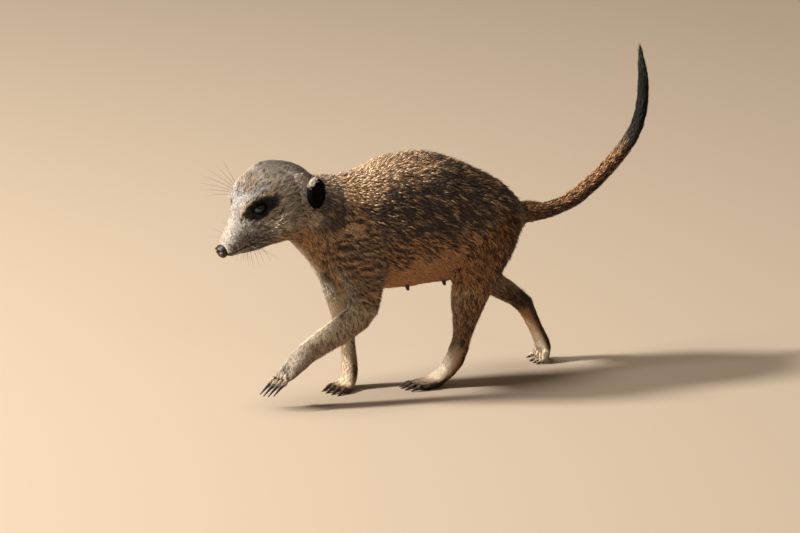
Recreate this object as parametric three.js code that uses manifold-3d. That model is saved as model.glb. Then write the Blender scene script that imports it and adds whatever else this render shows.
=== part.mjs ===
// A meerkat in mid-stride, life size, as one closed solid for each named part of its body.
// Millimetres. +X is the animal's left, -Y is where it walks to, +Z is up and the floor is z = 0.
// The solids reach out to the tips of the coat.
import * as THREE from "three";
import { mergeVertices } from "three/addons/utils/BufferGeometryUtils.js";
import Module from "manifold-3d";

const wasm = await Module();
wasm.setup();

// ---------------------------------------------------------------- driving dimensions
const GAP = 0.3; // clearance between neighbouring parts
const BODY_SIDES = 20; // corners of a ring round the trunk, neck and head
const LIMB_SIDES = 10;
const TAIL_SIDES = 9;
const TOE_SIDES = 6;
const CLAW_SIDES = 5;

const EYE_RADIUS = 5.2;
const EYE_CENTRE = [14, -118, 145.2]; // of the left eye
const EAR_CENTRE = [25.6, -80.6, 153.6]; // of the left ear
const EAR_SIZE = [4.6, 6.6, 11.2]; // half its depth out from the head, half its length, half its height
const EAR_HOLLOW = [3.4, 4.4, 8.2]; // half sizes of the dish in its outer face
const EAR_HOLLOW_SHIFT = [4.4, -1.4, 0.4]; // of the dish from the middle of the left ear

const TEAT_LENGTH = 4.6;
const TEAT_RADIUS = 1.7; // at its root
const TEAT_TIP_RADIUS = 1.2;
const TEAT_PAIRS = [
  [11.5, -2.5, 75.5],
  [11.5, 26.5, 76],
  [9.5, 50, 79],
]; // how far each pair stands from the middle line of the belly, and its y and z

const TOES = 4;

// ---------------------------------------------------------------- colours
const finish = (color, roughness) =>
  new THREE.MeshStandardMaterial({ color, roughness, metalness: 0 });
const GRIZZLED = finish(0x8a6f50, 0.9);
const CROWN = finish(0x9a8468, 0.9);
const BUFF = finish(0xb09468, 0.9);
const CREAM = finish(0xcdbd98, 0.9);
const BLACK_FUR = finish(0x17120f, 0.9);
const LEATHER = finish(0x2b1c18, 0.45);
const HORN = finish(0x1a1615, 0.35);
const EYE = finish(0x1c120c, 0.08);

// ---------------------------------------------------------------- solids
const vec = (p) => new THREE.Vector3(...p);

function solidOf(geometry) {
  const bare = geometry.clone();
  bare.deleteAttribute("normal");
  bare.deleteAttribute("uv");
  const merged = mergeVertices(bare, 1e-4);
  return new wasm.Manifold(
    new wasm.Mesh({
      numProp: 3,
      vertProperties: new Float32Array(merged.attributes.position.array),
      triVerts: new Uint32Array(merged.index.array),
    }),
  );
}

function geometryOf(solid) {
  const mesh = solid.getMesh();
  return new THREE.BufferGeometry()
    .setAttribute("position", new THREE.BufferAttribute(mesh.vertProperties, 3))
    .setIndex(new THREE.BufferAttribute(mesh.triVerts, 1));
}

// The largest body of a solid that a cut may have left in several.
function largest(solid) {
  return solid.decompose().sort((a, b) => b.volume() - a.volume())[0];
}

const join = (first, ...others) => others.reduce((all, next) => all.add(next), first);
const carve = (first, ...others) => others.reduce((all, next) => all.subtract(next), first);

// Everything on the far side of a plane, starting half a gap beyond it.
function beyond(point, direction) {
  const reach = 700;
  const way = vec(direction).normalize();
  const box = new THREE.BoxGeometry(reach, reach, reach);
  box.translate(0, 0, reach / 2 + GAP / 2);
  box.applyQuaternion(new THREE.Quaternion().setFromUnitVectors(vec([0, 0, 1]), way));
  box.translate(...point);
  return solidOf(box);
}

const opposite = (direction) => direction.map((n) => -n);

// A value of a smooth row of numbers, at a place counted in rows.
function smooth(rows, column, place) {
  const i = Math.min(Math.floor(place), rows.length - 2);
  const t = place - i;
  const at = (k) => rows[Math.max(0, Math.min(rows.length - 1, k))][column];
  const [a, b, c, d] = [at(i - 1), at(i), at(i + 1), at(i + 2)];
  const bend = 2 * a - 5 * b + 4 * c - d;
  const turn = 3 * b - a - 3 * c + d;
  return b + 0.5 * t * (c - a + t * (bend + t * turn));
}

// A body of rings along a row of stations, with a rounded end before the first and after the last.
// A station is [x, y, z, aim x, aim y, aim z, half width, up, down, fullness, pear]: the ring's middle,
// the way the body runs there, half its width and its reach towards and away from `towards`.
// Fullness 1 is an ellipse and less is squarer; pear widens the ring's lower half.
function body({ stations, towards, sides, rings, ends, endRings = 2, lumps = [] }, grow = 0) {
  const full = stations.map((s) => s.concat([1, 0].slice(s.length - 9)));
  const stout = 2 / (1 + Math.cos(Math.PI / sides)); // corners stand out as far as flats sink in
  const points = [];
  const ring = (place, shrink, shift) => {
    const s = Array.from({ length: 11 }, (_, column) => smooth(full, column, place));
    const aim = vec(s.slice(3, 6)).normalize();
    const side = new THREE.Vector3().crossVectors(vec(towards), aim).normalize();
    const up = new THREE.Vector3().crossVectors(aim, side);
    const middle = vec(s.slice(0, 3)).addScaledVector(aim, shift);
    const [wide, high, low] = s.slice(6, 9).map((r) => (r * stout + grow) * shrink);
    for (let k = 0; k < sides; k++) {
      const angle = (2 * Math.PI * k) / sides;
      const rounded = (n) => Math.sign(n) * Math.abs(n) ** s[9];
      const across = wide * rounded(Math.cos(angle)) * (1 - s[10] * Math.sin(angle));
      const along = (Math.sin(angle) > 0 ? high : low) * rounded(Math.sin(angle));
      points.push(middle.clone().addScaledVector(side, across).addScaledVector(up, along));
    }
  };
  const poleAt = (place, shift) => {
    const s = Array.from({ length: 6 }, (_, column) => smooth(full, column, place));
    return vec(s.slice(0, 3)).addScaledVector(vec(s.slice(3, 6)).normalize(), shift);
  };
  const last = full.length - 1;
  const [startLength, endLength] = ends.map((length) => length + grow);
  points.push(poleAt(0, -startLength));
  for (let k = endRings - 1; k > 0; k--) {
    const turn = (k / endRings) * (Math.PI / 2);
    ring(0, Math.cos(turn), -startLength * Math.sin(turn));
  }
  for (let k = 0; k < rings; k++) ring((k / (rings - 1)) * last, 1, 0);
  for (let k = 1; k < endRings; k++) {
    const turn = (k / endRings) * (Math.PI / 2);
    ring(last, Math.cos(turn), endLength * Math.sin(turn));
  }
  points.push(poleAt(last, endLength));

  for (const { at, reach, push } of lumps)
    for (const p of points) {
      const near = Math.exp(-p.distanceToSquared(vec(at)) / reach ** 2);
      p.addScaledVector(vec(push), near);
    }

  const index = [];
  const ringCount = (points.length - 2) / sides;
  const corner = (r, k) => 1 + r * sides + (k % sides);
  for (let k = 0; k < sides; k++) {
    index.push(0, corner(0, k + 1), corner(0, k));
    for (let r = 0; r < ringCount - 1; r++) {
      index.push(corner(r, k), corner(r, k + 1), corner(r + 1, k + 1));
      index.push(corner(r, k), corner(r + 1, k + 1), corner(r + 1, k));
    }
    index.push(points.length - 1, corner(ringCount - 1, k), corner(ringCount - 1, k + 1));
  }
  const geometry = new THREE.BufferGeometry().setFromPoints(points);
  geometry.setIndex(index);
  return solidOf(geometry);
}

// A sphere squashed to half sizes, with its middle at a point.
function egg(centre, halves, across, down, grow = 0) {
  const ball = new THREE.SphereGeometry(1, across, down);
  ball.scale(...halves.map((h) => h + grow));
  ball.translate(...centre);
  return solidOf(ball);
}

const mirrored = (point) => [-point[0], point[1], point[2]];
const bothSides = (lump) => [
  lump,
  { ...lump, at: mirrored(lump.at), push: mirrored(lump.push) },
];

const FLOOR = beyond([0, 0, GAP / 2], [0, 0, -1]); // what lies under the floor, with no gap

// ---------------------------------------------------------------- trunk, neck and head
// Rows run from the rump to the muzzle. The pitch in degrees is how far the row's aim rises.
function spineStation([y, z, pitch, wide, up, down, fullness = 1, pear = 0]) {
  const rise = THREE.MathUtils.degToRad(pitch);
  return [0, y, z, 0, -Math.cos(rise), Math.sin(rise), wide, up, down, fullness, pear];
}

const SPINE = [
  // y, z, pitch, half width, up, down, fullness, pear
  [92, 114.5, 16, 12.5, 10.5, 11],
  [86.5, 110.5, 14, 18.5, 17, 17.5],
  [80, 108.5, 10, 25.8, 26, 25.5],
  [69.5, 111.5, 6, 31, 32.6, 30],
  [57, 115.5, 3, 33, 36.3, 35.5],
  [40, 118, 1, 34.5, 42.8, 43.2],
  [22, 120, 0, 35.5, 47.6, 46.2, 0.97],
  [2, 120.5, 0, 35.5, 48.4, 47.2, 0.97],
  [-18, 120.5, 1, 34, 46.8, 47],
  [-34, 119.5, 4, 32, 42.2, 45],
  [-47, 120.5, 7, 29.5, 38.8, 43.5],
  [-58, 124, 8, 27, 36.5, 37],
  [-67, 129, 9, 24, 31, 31.8],
  [-75, 134.5, 12, 22.6, 27, 27.8],
  [-82.5, 140.5, 15, 23.4, 26, 25.5],
  [-90, 143.4, 12, 25.6, 28, 27.6],
  [-98, 144.6, 5, 26.6, 29.3, 29],
  [-106, 144.6, -3, 25.4, 29.8, 29.6],
  [-113.5, 142, -7, 22.6, 28.6, 28.4, 1, 0.05],
  [-120, 137, -9, 18.8, 25.5, 25.2, 1, 0.06],
  [-125.5, 131, -11, 14.4, 19.8, 20.2, 1, 0.05],
  [-130, 125.6, -12, 11.2, 14, 15, 1, 0.06],
  [-134.2, 120.6, -12, 9.6, 10.2, 10.6],
  [-138, 116.9, -12, 8, 7.4, 7.4],
];
const FACE_LUMPS = [
  ...bothSides({ at: [15, -122, 153], reach: 7.5, push: [3.2, -4.6, 1.2] }), // brow
  ...bothSides({ at: [18.5, -119.5, 144.6], reach: 6.5, push: [-3.2, 1, 0] }), // eye socket
  ...bothSides({ at: [22, -106, 131], reach: 12, push: [2.6, 0, -0.6] }), // cheek
  ...bothSides({ at: [8, -137, 114.5], reach: 6, push: [1.2, -0.4, 0] }), // whisker pad
];
const axial = {
  stations: SPINE.map(spineStation),
  towards: [0, 0, 1],
  sides: BODY_SIDES,
  rings: 37,
  ends: [5, 3.8],
  lumps: FACE_LUMPS,
};

const TRUNK_CUT = { at: [0, -61, 125], way: [0, -0.99, 0.14] };
const HEAD_CUT = { at: [0, -84, 141], way: [0, -0.93, 0.37] };
const MOUTH_CUT = { at: [0, -137, 112.9], way: [0, 0.4, -0.916] };
const JAW_BACK_CUT = { at: [0, -111, 120], way: [0, -0.9, -0.44] };

const nose = {
  stations: [
    [0, -139.4, 115, 0, -0.84, -0.54, 5, 4.6, 4.4, 0.85],
    [0, -142.2, 113.2, 0, -0.84, -0.54, 4.8, 4.3, 4.2, 0.85],
  ],
  towards: [0, 0, 1],
  sides: 10,
  rings: 3,
  ends: [1, 1.8],
};

// ---------------------------------------------------------------- tail
const tail = {
  stations: [
    [0, 86, 113.5, 0, 1, 0.05, 9.6, 9.6, 9.6],
    [0, 97, 115.6, 0, 1, 0, 9, 9, 8.8],
    [0, 109, 114.4, 0, 1, 0, 7.2, 6.9, 6.9],
    [0, 124, 116, 0, 1, 0.3, 6.2, 6.2, 6],
    [0, 139, 121.2, 0, 1, 0.5, 6, 6, 6],
    [0, 153, 130.6, 0, 1, 0.8, 6, 6.1, 6.1],
    [0, 166, 140.9, 0, 1, 0.9, 5.8, 5.8, 5.8],
    [0, 177.4, 151.6, 0, 1, 1.1, 5.4, 5.5, 5.4],
    [0, 186.6, 163.6, 0, 1, 1.8, 4.9, 5, 4.9],
    [0, 191.6, 176.2, 0, 1, 3.4, 4.5, 4.6, 4.5],
    [0, 193.6, 189, 0, 0.4, 4, 4.2, 4.3, 4.2],
    [0, 193.8, 201, 0, -0.2, 4, 3.8, 3.9, 3.8],
    [0, 192.6, 212, 0, -0.4, 4, 3, 3.1, 3],
    [0, 191.6, 220, 0, -0.4, 4, 1.9, 1.9, 1.9],
  ],
  towards: [0, -1, 1],
  sides: TAIL_SIDES,
  rings: 20,
  ends: [3, 5.5],
};
const TAIL_CUTS = [
  { at: [0, 133, 119], way: [0, 1, 0.4] },
  { at: [0, 180, 155], way: [0, 1, 1.3] },
];

// ---------------------------------------------------------------- limbs
const foreLegLeft = {
  stations: [
    [19, -49, 130, 0, 0, -1, 9, 14, 14],
    [22, -48, 115, 0, 0, -1, 12, 21, 20],
    [24, -46.5, 101, 0, 0, -1, 12.5, 21, 20.5],
    [25, -44.5, 91, 0, 0, -1, 11.5, 18, 18.4],
    [25, -43.4, 82, 0, -0.05, -1, 10.4, 14.6, 14.8],
    [24.4, -42.6, 73.5, 0, -0.3, -1, 9.4, 12, 12.4],
    [23.4, -45, 65, -0.05, -0.65, -0.75, 8.8, 10.6, 12.6],
    [22, -53, 57.6, -0.1, -0.8, -0.58, 8.2, 10.6, 11.4],
    [20.4, -63, 50.6, -0.12, -0.83, -0.55, 7.8, 10.6, 10],
    [18.8, -72.7, 44.8, -0.12, -0.83, -0.55, 7.4, 10, 8.8],
    [17.2, -82, 38.9, -0.12, -0.78, -0.6, 7.2, 9.2, 7.8],
  ],
  towards: [0, -1, 0.5],
  sides: LIMB_SIDES,
  rings: 12,
  ends: [7, 4],
};
const foreLegRight = {
  stations: [
    [-19, -47, 130, 0, 0, -1, 9, 14, 14],
    [-22, -45, 115, 0, 0, -1, 12, 19.5, 19],
    [-23.5, -43, 101, 0, 0, -1, 12, 19, 18.5],
    [-23.5, -41, 88, 0, 0, -1, 11, 16.5, 16],
    [-22, -39.4, 76, 0, 0, -1, 9.6, 14, 13.4],
    [-20.6, -38.8, 64, 0, 0.05, -1, 8.2, 11, 10.8],
    [-19.2, -37.4, 51, 0, 0.1, -1, 7.2, 8.6, 8.4],
    [-18, -35.2, 38, 0, 0.12, -1, 6.4, 6.9, 6.9],
    [-17, -33.6, 26, 0, 0.05, -1, 6, 6.2, 6.2],
    [-16.4, -33.2, 16, 0, -0.05, -1, 6.2, 6.4, 6.4],
  ],
  towards: [0, -1, 0],
  sides: LIMB_SIDES,
  rings: 12,
  ends: [7, 4],
};
const hindLegLeft = {
  stations: [
    [15.5, 64, 124, 0, 0, -1, 10.5, 16, 12],
    [20, 62, 111, 0, 0, -1, 15, 24, 20],
    [22.5, 55.5, 98, 0, 0, -1, 14.5, 24, 21.5],
    [24.5, 48.5, 86, 0, -0.1, -1, 12.6, 21, 19.6],
    [25, 43, 73, 0, -0.05, -1, 11, 16.6, 16.6],
    [24, 40.2, 61, 0, 0, -1, 9.8, 14, 13.8],
    [21.6, 39.4, 51, -0.2, 0, -1, 8.4, 11, 11],
    [19.6, 38.6, 42, -0.2, 0, -1, 7.2, 8.8, 8.8],
    [17.8, 37.4, 33, -0.15, -0.1, -1, 6.6, 7.4, 7.6],
    [16.8, 36.6, 27, -0.1, -0.2, -1, 6.4, 7, 7.6],
  ],
  towards: [0, -1, 0],
  sides: LIMB_SIDES,
  rings: 12,
  ends: [7, 3],
};
const hindLegRight = {
  stations: [
    [-15.5, 64, 124, 0, 0, -1, 10.5, 16, 12],
    [-20, 64, 111, 0, 0, -1, 15, 23, 19],
    [-22.5, 62.5, 98, 0, 0.1, -1, 14, 21, 19],
    [-24, 64, 86, 0, 0.3, -1, 12.4, 17, 16],
    [-23.6, 70, 74, 0, 0.6, -0.85, 10.8, 13.2, 13],
    [-22.4, 79.5, 64, 0, 0.8, -0.65, 9.4, 10.6, 10.8],
    [-21.2, 90, 56.6, 0, 0.85, -0.55, 8.2, 8.8, 9],
    [-20.4, 100, 50.2, 0, 0.82, -0.6, 7.4, 8, 8],
    [-20, 107.6, 43.6, 0, 0.6, -0.8, 6.8, 7.4, 7.6],
  ],
  towards: [0, -1, 0],
  sides: LIMB_SIDES,
  rings: 12,
  ends: [7, 3.5],
};

// Where each leg is parted: the upper piece is on the near side of the plane.
const LEG_CUTS = {
  elbowLeft: { at: [24, -43, 69.5], way: [0, -0.35, -0.94] },
  elbowRight: { at: [-21, -39, 69], way: [0, 0, -1] },
  kneeLeft: { at: [25, 43, 76], way: [0, 0, -1] },
  kneeRight: { at: [-23.6, 69, 76], way: [0, 0.5, -0.86] },
};

// ---------------------------------------------------------------- feet
// A foot is a pastern from the wrist or hock to the ball, and toes that fan out ahead of the ball.
const FEET = {
  fore_left: {
    pastern: {
      stations: [
        [17.7, -79.6, 41.2, -0.12, -0.76, -0.64, 7.3, 9.3, 7.4],
        [16.2, -90.5, 31.4, -0.12, -0.72, -0.68, 7.8, 8.2, 6, 0.95],
        [15.2, -97, 25.2, -0.12, -0.7, -0.7, 7.8, 5.8, 4.6, 0.9],
      ],
      towards: [0.12, -0.6, 0.6],
      ends: [0, 2.5],
    },
    wrist: { at: [17.4, -81.6, 39.2], way: [-0.12, -0.78, -0.6] },
    ball: [14.6, -94.6, 27.2],
    forward: [-0.04, -0.74, -0.68],
    up: [0.1, -0.67, 0.74],
    toe: { length: 9.5, radius: 2.8, fan: 0.05, spacing: 3.8, slant: 1.3 },
    claw: { ahead: [0, -0.84, -0.55], length: 16.5, radius: 1.5, droop: 2.2, fan: 0.02 },
  },
  fore_right: {
    pastern: {
      stations: [
        [-16.6, -33.4, 21, 0.1, 0, -1, 6.1, 6.3, 6.3],
        [-14.8, -34, 10, 0.15, -0.3, -1, 6.8, 6.4, 6.2],
        [-13.6, -36.2, 3.9, 0.15, -0.8, -0.6, 7.8, 5.8, 5.2],
      ],
      towards: [0, -1, 0.6],
      ends: [0, 2.5],
    },
    wrist: { at: [-16.3, -33.3, 18.5], way: [0, 0, -1] },
    ball: [-13.6, -36.5, 2.3],
    forward: [0.45, -1, 0],
    up: [0, 0, 1],
    toe: { length: 10, radius: 3, fan: 0.14, spacing: 3.9, slant: -1 },
    claw: { ahead: [0.45, -1, -0.1], length: 12, radius: 1.5, droop: 2.4, fan: 0.04 },
  },
  hind_left: {
    pastern: {
      stations: [
        [17.4, 37.4, 32, -0.12, -0.2, -1, 6.6, 7.3, 7.7],
        [15.4, 34.4, 19.6, -0.14, -0.6, -0.85, 6.8, 7.8, 7.2],
        [13.4, 29.2, 11.8, -0.16, -0.85, -0.6, 7.2, 7, 6.4],
        [11.6, 22, 6, -0.16, -1, -0.25, 7.8, 5.4, 6.8],
        [10.8, 16.5, 4.2, -0.1, -1, 0, 8, 3.6, 4.6],
      ],
      towards: [0, -1, 1],
      ends: [0, 3],
    },
    wrist: { at: [17, 36.9, 29.3], way: [-0.12, -0.2, -1] },
    ball: [10.8, 18.5, 2.3],
    forward: [-0.08, -1, 0],
    up: [0, 0, 1],
    toe: { length: 14.5, radius: 2.9, fan: 0.08, spacing: 3.9, slant: 0.9 },
    claw: { ahead: [-0.08, -1, -0.1], length: 8.5, radius: 1.5, droop: 1.6, fan: 0.03 },
  },
  hind_right: {
    pastern: {
      stations: [
        [-20, 106.6, 46, 0, 0.55, -0.83, 6.9, 7.3, 7.6],
        [-20, 113.8, 33.4, 0, 0.45, -0.9, 6.2, 5.6, 5.6],
        [-18.6, 118, 24, 0.1, 0.45, -0.9, 6.4, 5.2, 4.8],
        [-16.8, 121.6, 15.2, 0.15, 0.25, -1, 7.2, 5.4, 5.2],
        [-15.6, 122.8, 9, 0.1, 0, -1, 7.8, 5.6, 5.4],
      ],
      towards: [0, -1, 0],
      ends: [0, 3],
    },
    wrist: { at: [-20, 108, 44.4], way: [0, 0.55, -0.83] },
    ball: [-15.6, 122.8, 9.2],
    forward: [0, -0.34, -0.94],
    up: [0, -0.94, 0.34],
    toe: { length: 8.6, radius: 3.3, fan: 0.14, spacing: 4, slant: -0.4 },
    claw: { ahead: [0, -0.97, -0.25], length: 7.5, radius: 1.4, droop: 0, fan: 0.02 },
  },
};

function footFrame({ forward, up }) {
  const ahead = vec(forward).normalize();
  const side = new THREE.Vector3().crossVectors(vec(up), ahead).normalize();
  return { ahead, side, top: new THREE.Vector3().crossVectors(ahead, side) };
}

// The line of one toe: where it leaves the ball, the way it points and where it ends.
function toeLine(foot, number) {
  const { ahead, side, top } = footFrame(foot);
  const { length, fan, spacing, slant } = foot.toe;
  const out = number - (TOES - 1) / 2; // -1.5 is the innermost toe of a right foot
  const way = ahead.clone().addScaledVector(side, fan * out).normalize();
  const root = vec(foot.ball).addScaledVector(side, spacing * out).addScaledVector(ahead, -slant * out);
  const reach = length * (1 - 0.08 * Math.abs(out) ** 1.5);
  return { root, way, top, side, out, end: root.clone().addScaledVector(way, reach) };
}

function toeSolid(foot, number, grow = 0) {
  const { root, way, top, end } = toeLine(foot, number);
  const { radius } = foot.toe;
  const station = (share, lift, size) => {
    const middle = root.clone().lerp(end, share).addScaledVector(top, lift);
    return [...middle, ...way, radius * size, radius * size * 1.1, radius * size * 1.1];
  };
  return body(
    {
      stations: [station(0, 0.6, 1), station(0.5, 0.7, 1), station(1, -0.1, 0.86)],
      towards: top.toArray(),
      sides: TOE_SIDES,
      rings: 3,
      ends: [0.6, 1.8],
    },
    grow,
  );
}

function clawSolid(foot, number) {
  const { side, out, end } = toeLine(foot, number);
  const { ahead, length, radius, droop, fan } = foot.claw;
  const aim = vec(ahead).addScaledVector(side, fan * out).normalize();
  const top = new THREE.Vector3().crossVectors(aim, side).normalize();
  const station = (share) => {
    const middle = end
      .clone()
      .addScaledVector(aim, share * length)
      .addScaledVector(top, 0.6 - droop * share ** 2);
    const size = radius * (1 - 0.78 * share ** 1.3);
    const dip = aim.clone().addScaledVector(top, (-2 * droop * share) / length);
    return [...middle, ...dip, size, size * 1.25, size * 1.25];
  };
  return body({
    stations: [0, 0.34, 0.67, 1].map(station),
    towards: top.toArray(),
    sides: CLAW_SIDES,
    rings: 4,
    ends: [0, 0.5],
    endRings: 1,
  });
}

const pasternSolid = (foot) => body({ ...foot.pastern, sides: LIMB_SIDES, rings: 5 });

// ---------------------------------------------------------------- assembly
const animal = new THREE.Group();

function place(name, solid, material) {
  const mesh = new THREE.Mesh(geometryOf(largest(solid)), material);
  mesh.name = name;
  animal.add(mesh);
}

// Legs, each parted at its middle joint and its wrist or hock, with the foot and its claws.
const LEGS = [
  ["fore", "left", foreLegLeft, LEG_CUTS.elbowLeft, "upper_arm", "forearm"],
  ["fore", "right", foreLegRight, LEG_CUTS.elbowRight, "upper_arm", "forearm"],
  ["hind", "left", hindLegLeft, LEG_CUTS.kneeLeft, "thigh", "shank"],
  ["hind", "right", hindLegRight, LEG_CUTS.kneeRight, "thigh", "shank"],
];

function buildLeg(end, side, leg, cut, upperName, lowerName) {
  const foot = FEET[`${end}_${side}`];
  const whole = body(leg);
  const aboveWrist = beyond(foot.wrist.at, opposite(foot.wrist.way));
  const belowWrist = beyond(foot.wrist.at, foot.wrist.way);
  const upper = whole.intersect(beyond(cut.at, opposite(cut.way)));
  const lower = whole.intersect(beyond(cut.at, cut.way)).intersect(aboveWrist);
  const numbers = Array.from({ length: TOES }, (_, n) => n);
  const toes = numbers.map((n) => toeSolid(foot, n));
  const rooms = numbers.map((n) => toeSolid(foot, n, GAP));
  const paw = join(pasternSolid(foot), ...toes).intersect(belowWrist).subtract(FLOOR);
  place(`${upperName}_${side}`, upper, GRIZZLED);
  place(`${lowerName}_${side}`, lower, end === "fore" ? CREAM : GRIZZLED);
  place(`${end}_paw_${side}`, paw, CREAM);
  for (const n of numbers)
    place(`claw_${end}_${side}_${n + 1}`, carve(clawSolid(foot, n), FLOOR, ...rooms), HORN);
}
LEGS.forEach((leg) => buildLeg(...leg));

// Head, neck and trunk are one run of rings, parted by thin cuts after the limbs' roots are let in.
const eyes = [EYE_CENTRE, mirrored(EYE_CENTRE)];
const ears = [EAR_CENTRE, mirrored(EAR_CENTRE)];
const eyeball = (centre, grow) => egg(centre, Array(3).fill(EYE_RADIUS), 10, 6, grow);
const earShell = (centre, grow) => egg(centre, EAR_SIZE, 11, 7, grow);
function earHollow(centre) {
  const [out, along, rise] = EAR_HOLLOW_SHIFT;
  const middle = [centre[0] + Math.sign(centre[0]) * out, centre[1] + along, centre[2] + rise];
  return egg(middle, EAR_HOLLOW, 9, 6);
}

const limbRoots = [foreLegLeft, foreLegRight, hindLegLeft, hindLegRight].map((leg) =>
  body(leg, GAP),
);
const bare = carve(
  body(axial),
  ...limbRoots,
  body(tail, GAP),
  body(nose, GAP),
  ...eyes.map((centre) => eyeball(centre, GAP)),
  ...ears.map((centre) => earShell(centre, GAP)),
);
const aheadOf = (cut) => beyond(cut.at, cut.way);
const behind = (cut) => beyond(cut.at, opposite(cut.way));

const headWhole = bare.intersect(aheadOf(HEAD_CUT));
const jawRoom = (shift) => {
  const moved = (cut) => ({
    at: cut.at.map((n, axis) => n + cut.way[axis] * shift),
    way: cut.way,
  });
  return aheadOf(moved(MOUTH_CUT)).intersect(aheadOf(moved(JAW_BACK_CUT)));
};
place("head", headWhole.subtract(jawRoom(-GAP)), CROWN);
place("lower_jaw", headWhole.intersect(jawRoom(0)), CREAM);
place("neck", bare.intersect(behind(HEAD_CUT)).intersect(aheadOf(TRUNK_CUT)), GRIZZLED);

function teat([x, y, z]) {
  const tip = z - TEAT_LENGTH + 2.4;
  return body({
    stations: [
      [x, y, z + 3, 0, 0.25, -1, TEAT_RADIUS, TEAT_RADIUS, TEAT_RADIUS],
      [x, y + 0.8, tip, 0, 0.25, -1, TEAT_TIP_RADIUS, TEAT_TIP_RADIUS, TEAT_TIP_RADIUS],
    ],
    towards: [0, -1, 0],
    sides: 5,
    rings: 2,
    ends: [0.5, 1],
    endRings: 1,
  });
}
const teats = TEAT_PAIRS.flatMap((pair) => [teat(pair), teat(mirrored(pair))]);
place("trunk", join(bare.intersect(behind(TRUNK_CUT)), ...teats), GRIZZLED);

const tailWhole = body(tail);
place("tail_base", tailWhole.intersect(behind(TAIL_CUTS[0])), BUFF);
place("tail_middle", tailWhole.intersect(aheadOf(TAIL_CUTS[0])).intersect(behind(TAIL_CUTS[1])), BUFF);
place("tail_tip", tailWhole.intersect(aheadOf(TAIL_CUTS[1])), BLACK_FUR);

place("nose", body(nose), LEATHER);
["left", "right"].forEach((side, n) => {
  place(`eye_${side}`, eyeball(eyes[n]), EYE);
  place(`ear_${side}`, earShell(ears[n]).subtract(earHollow(ears[n])), BLACK_FUR);
});

// The origin lies on the floor, under the middle of the animal's length and width.
const centre = new THREE.Box3().setFromObject(animal).getCenter(new THREE.Vector3());
animal.position.set(-centre.x, -centre.y, 0);
const meerkat = new THREE.Group().add(animal);

export default meerkat;
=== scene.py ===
# %% [markdown]
# # A meerkat in mid-stride
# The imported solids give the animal's outline out to the tips of its hair. The skin therefore has to lie
# inside them by the depth of the coat, and the hair has to fill the space between. Loading the frame
# first means that every piece below can be measured from the solids and needs no fitting by eye.

# %% Load the frame
import math
import time

import bmesh
import bpy
import numpy as np
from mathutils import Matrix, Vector, noise
from mathutils.bvhtree import BVHTree
from mathutils.kdtree import KDTree


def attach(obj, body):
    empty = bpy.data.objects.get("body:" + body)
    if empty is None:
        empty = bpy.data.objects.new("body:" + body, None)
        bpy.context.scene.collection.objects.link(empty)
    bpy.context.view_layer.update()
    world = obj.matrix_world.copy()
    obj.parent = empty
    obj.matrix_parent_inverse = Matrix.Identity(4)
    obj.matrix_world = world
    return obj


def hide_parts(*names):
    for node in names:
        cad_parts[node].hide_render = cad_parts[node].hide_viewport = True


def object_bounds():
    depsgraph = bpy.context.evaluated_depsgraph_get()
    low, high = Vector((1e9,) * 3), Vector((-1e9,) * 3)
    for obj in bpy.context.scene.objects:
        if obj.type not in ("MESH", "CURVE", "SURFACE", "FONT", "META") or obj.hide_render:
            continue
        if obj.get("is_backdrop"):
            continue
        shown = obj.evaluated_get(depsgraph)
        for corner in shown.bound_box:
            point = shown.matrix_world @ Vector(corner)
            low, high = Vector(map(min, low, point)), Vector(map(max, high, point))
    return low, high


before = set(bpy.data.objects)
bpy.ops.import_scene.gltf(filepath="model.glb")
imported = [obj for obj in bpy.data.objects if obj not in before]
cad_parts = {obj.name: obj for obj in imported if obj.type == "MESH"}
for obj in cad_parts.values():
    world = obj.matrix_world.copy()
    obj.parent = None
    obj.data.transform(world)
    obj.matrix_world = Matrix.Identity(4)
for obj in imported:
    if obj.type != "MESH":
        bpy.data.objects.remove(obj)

clock = time.time()
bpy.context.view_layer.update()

# %% [markdown]
# Hair and skin are measured in millimetres, while Blender's unit here is the metre. The helpers below
# work in millimetres with numpy arrays, because one array operation moves a hundred thousand points at
# once, and turn into metres only when a mesh is made.

# %% Small helpers
MM = 0.001
BODY = "root"


def tell(*words):
    print(*words, "after", round(time.time() - clock, 1), "s")


def unit(v):
    v = np.asarray(v, float)
    return v / np.maximum(np.linalg.norm(v, axis=-1, keepdims=True), 1e-9)


def in_plane(ways, normals):
    """Arrows laid flat on the surface whose normals are given."""
    return unit(ways - (ways * normals).sum(1, keepdims=True) * normals)


def ramp(value, low, high):
    """0 below low, 1 above high and smooth between."""
    t = np.clip((np.asarray(value, float) - low) / (high - low), 0, 1)
    return t * t * (3 - 2 * t)


def bump_at(points, centre, reach):
    """1 at a centre and fading to nothing about two reaches away; reach may differ on X, Y and Z."""
    return np.exp(-(((points - np.asarray(centre)) / reach) ** 2).sum(-1))


def line_bump(value, reach):
    """1 where the value is 0, fading to nothing on both sides."""
    return np.exp(-((value / reach) ** 2))


def tree_of(points):
    tree = KDTree(len(points))
    for k, p in enumerate(points.tolist()):
        tree.insert(p, k)
    tree.balance()
    return tree


# %% [markdown]
# A mesh can be read and made point by point, but `foreach_get` and `foreach_set` move whole arrays.
# Every visible piece rides on the model's one body, and a coat piece also carries the map for baking.

# %% Meshes to arrays and back
def read_array(items, key, width, kind):
    values = np.empty(len(items) * width, kind)
    items.foreach_get(key, values)
    return values.reshape(-1, width)


def mesh_points(mesh):
    return read_array(mesh.vertices, "co", 3, np.float32).astype(float) / MM


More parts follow.
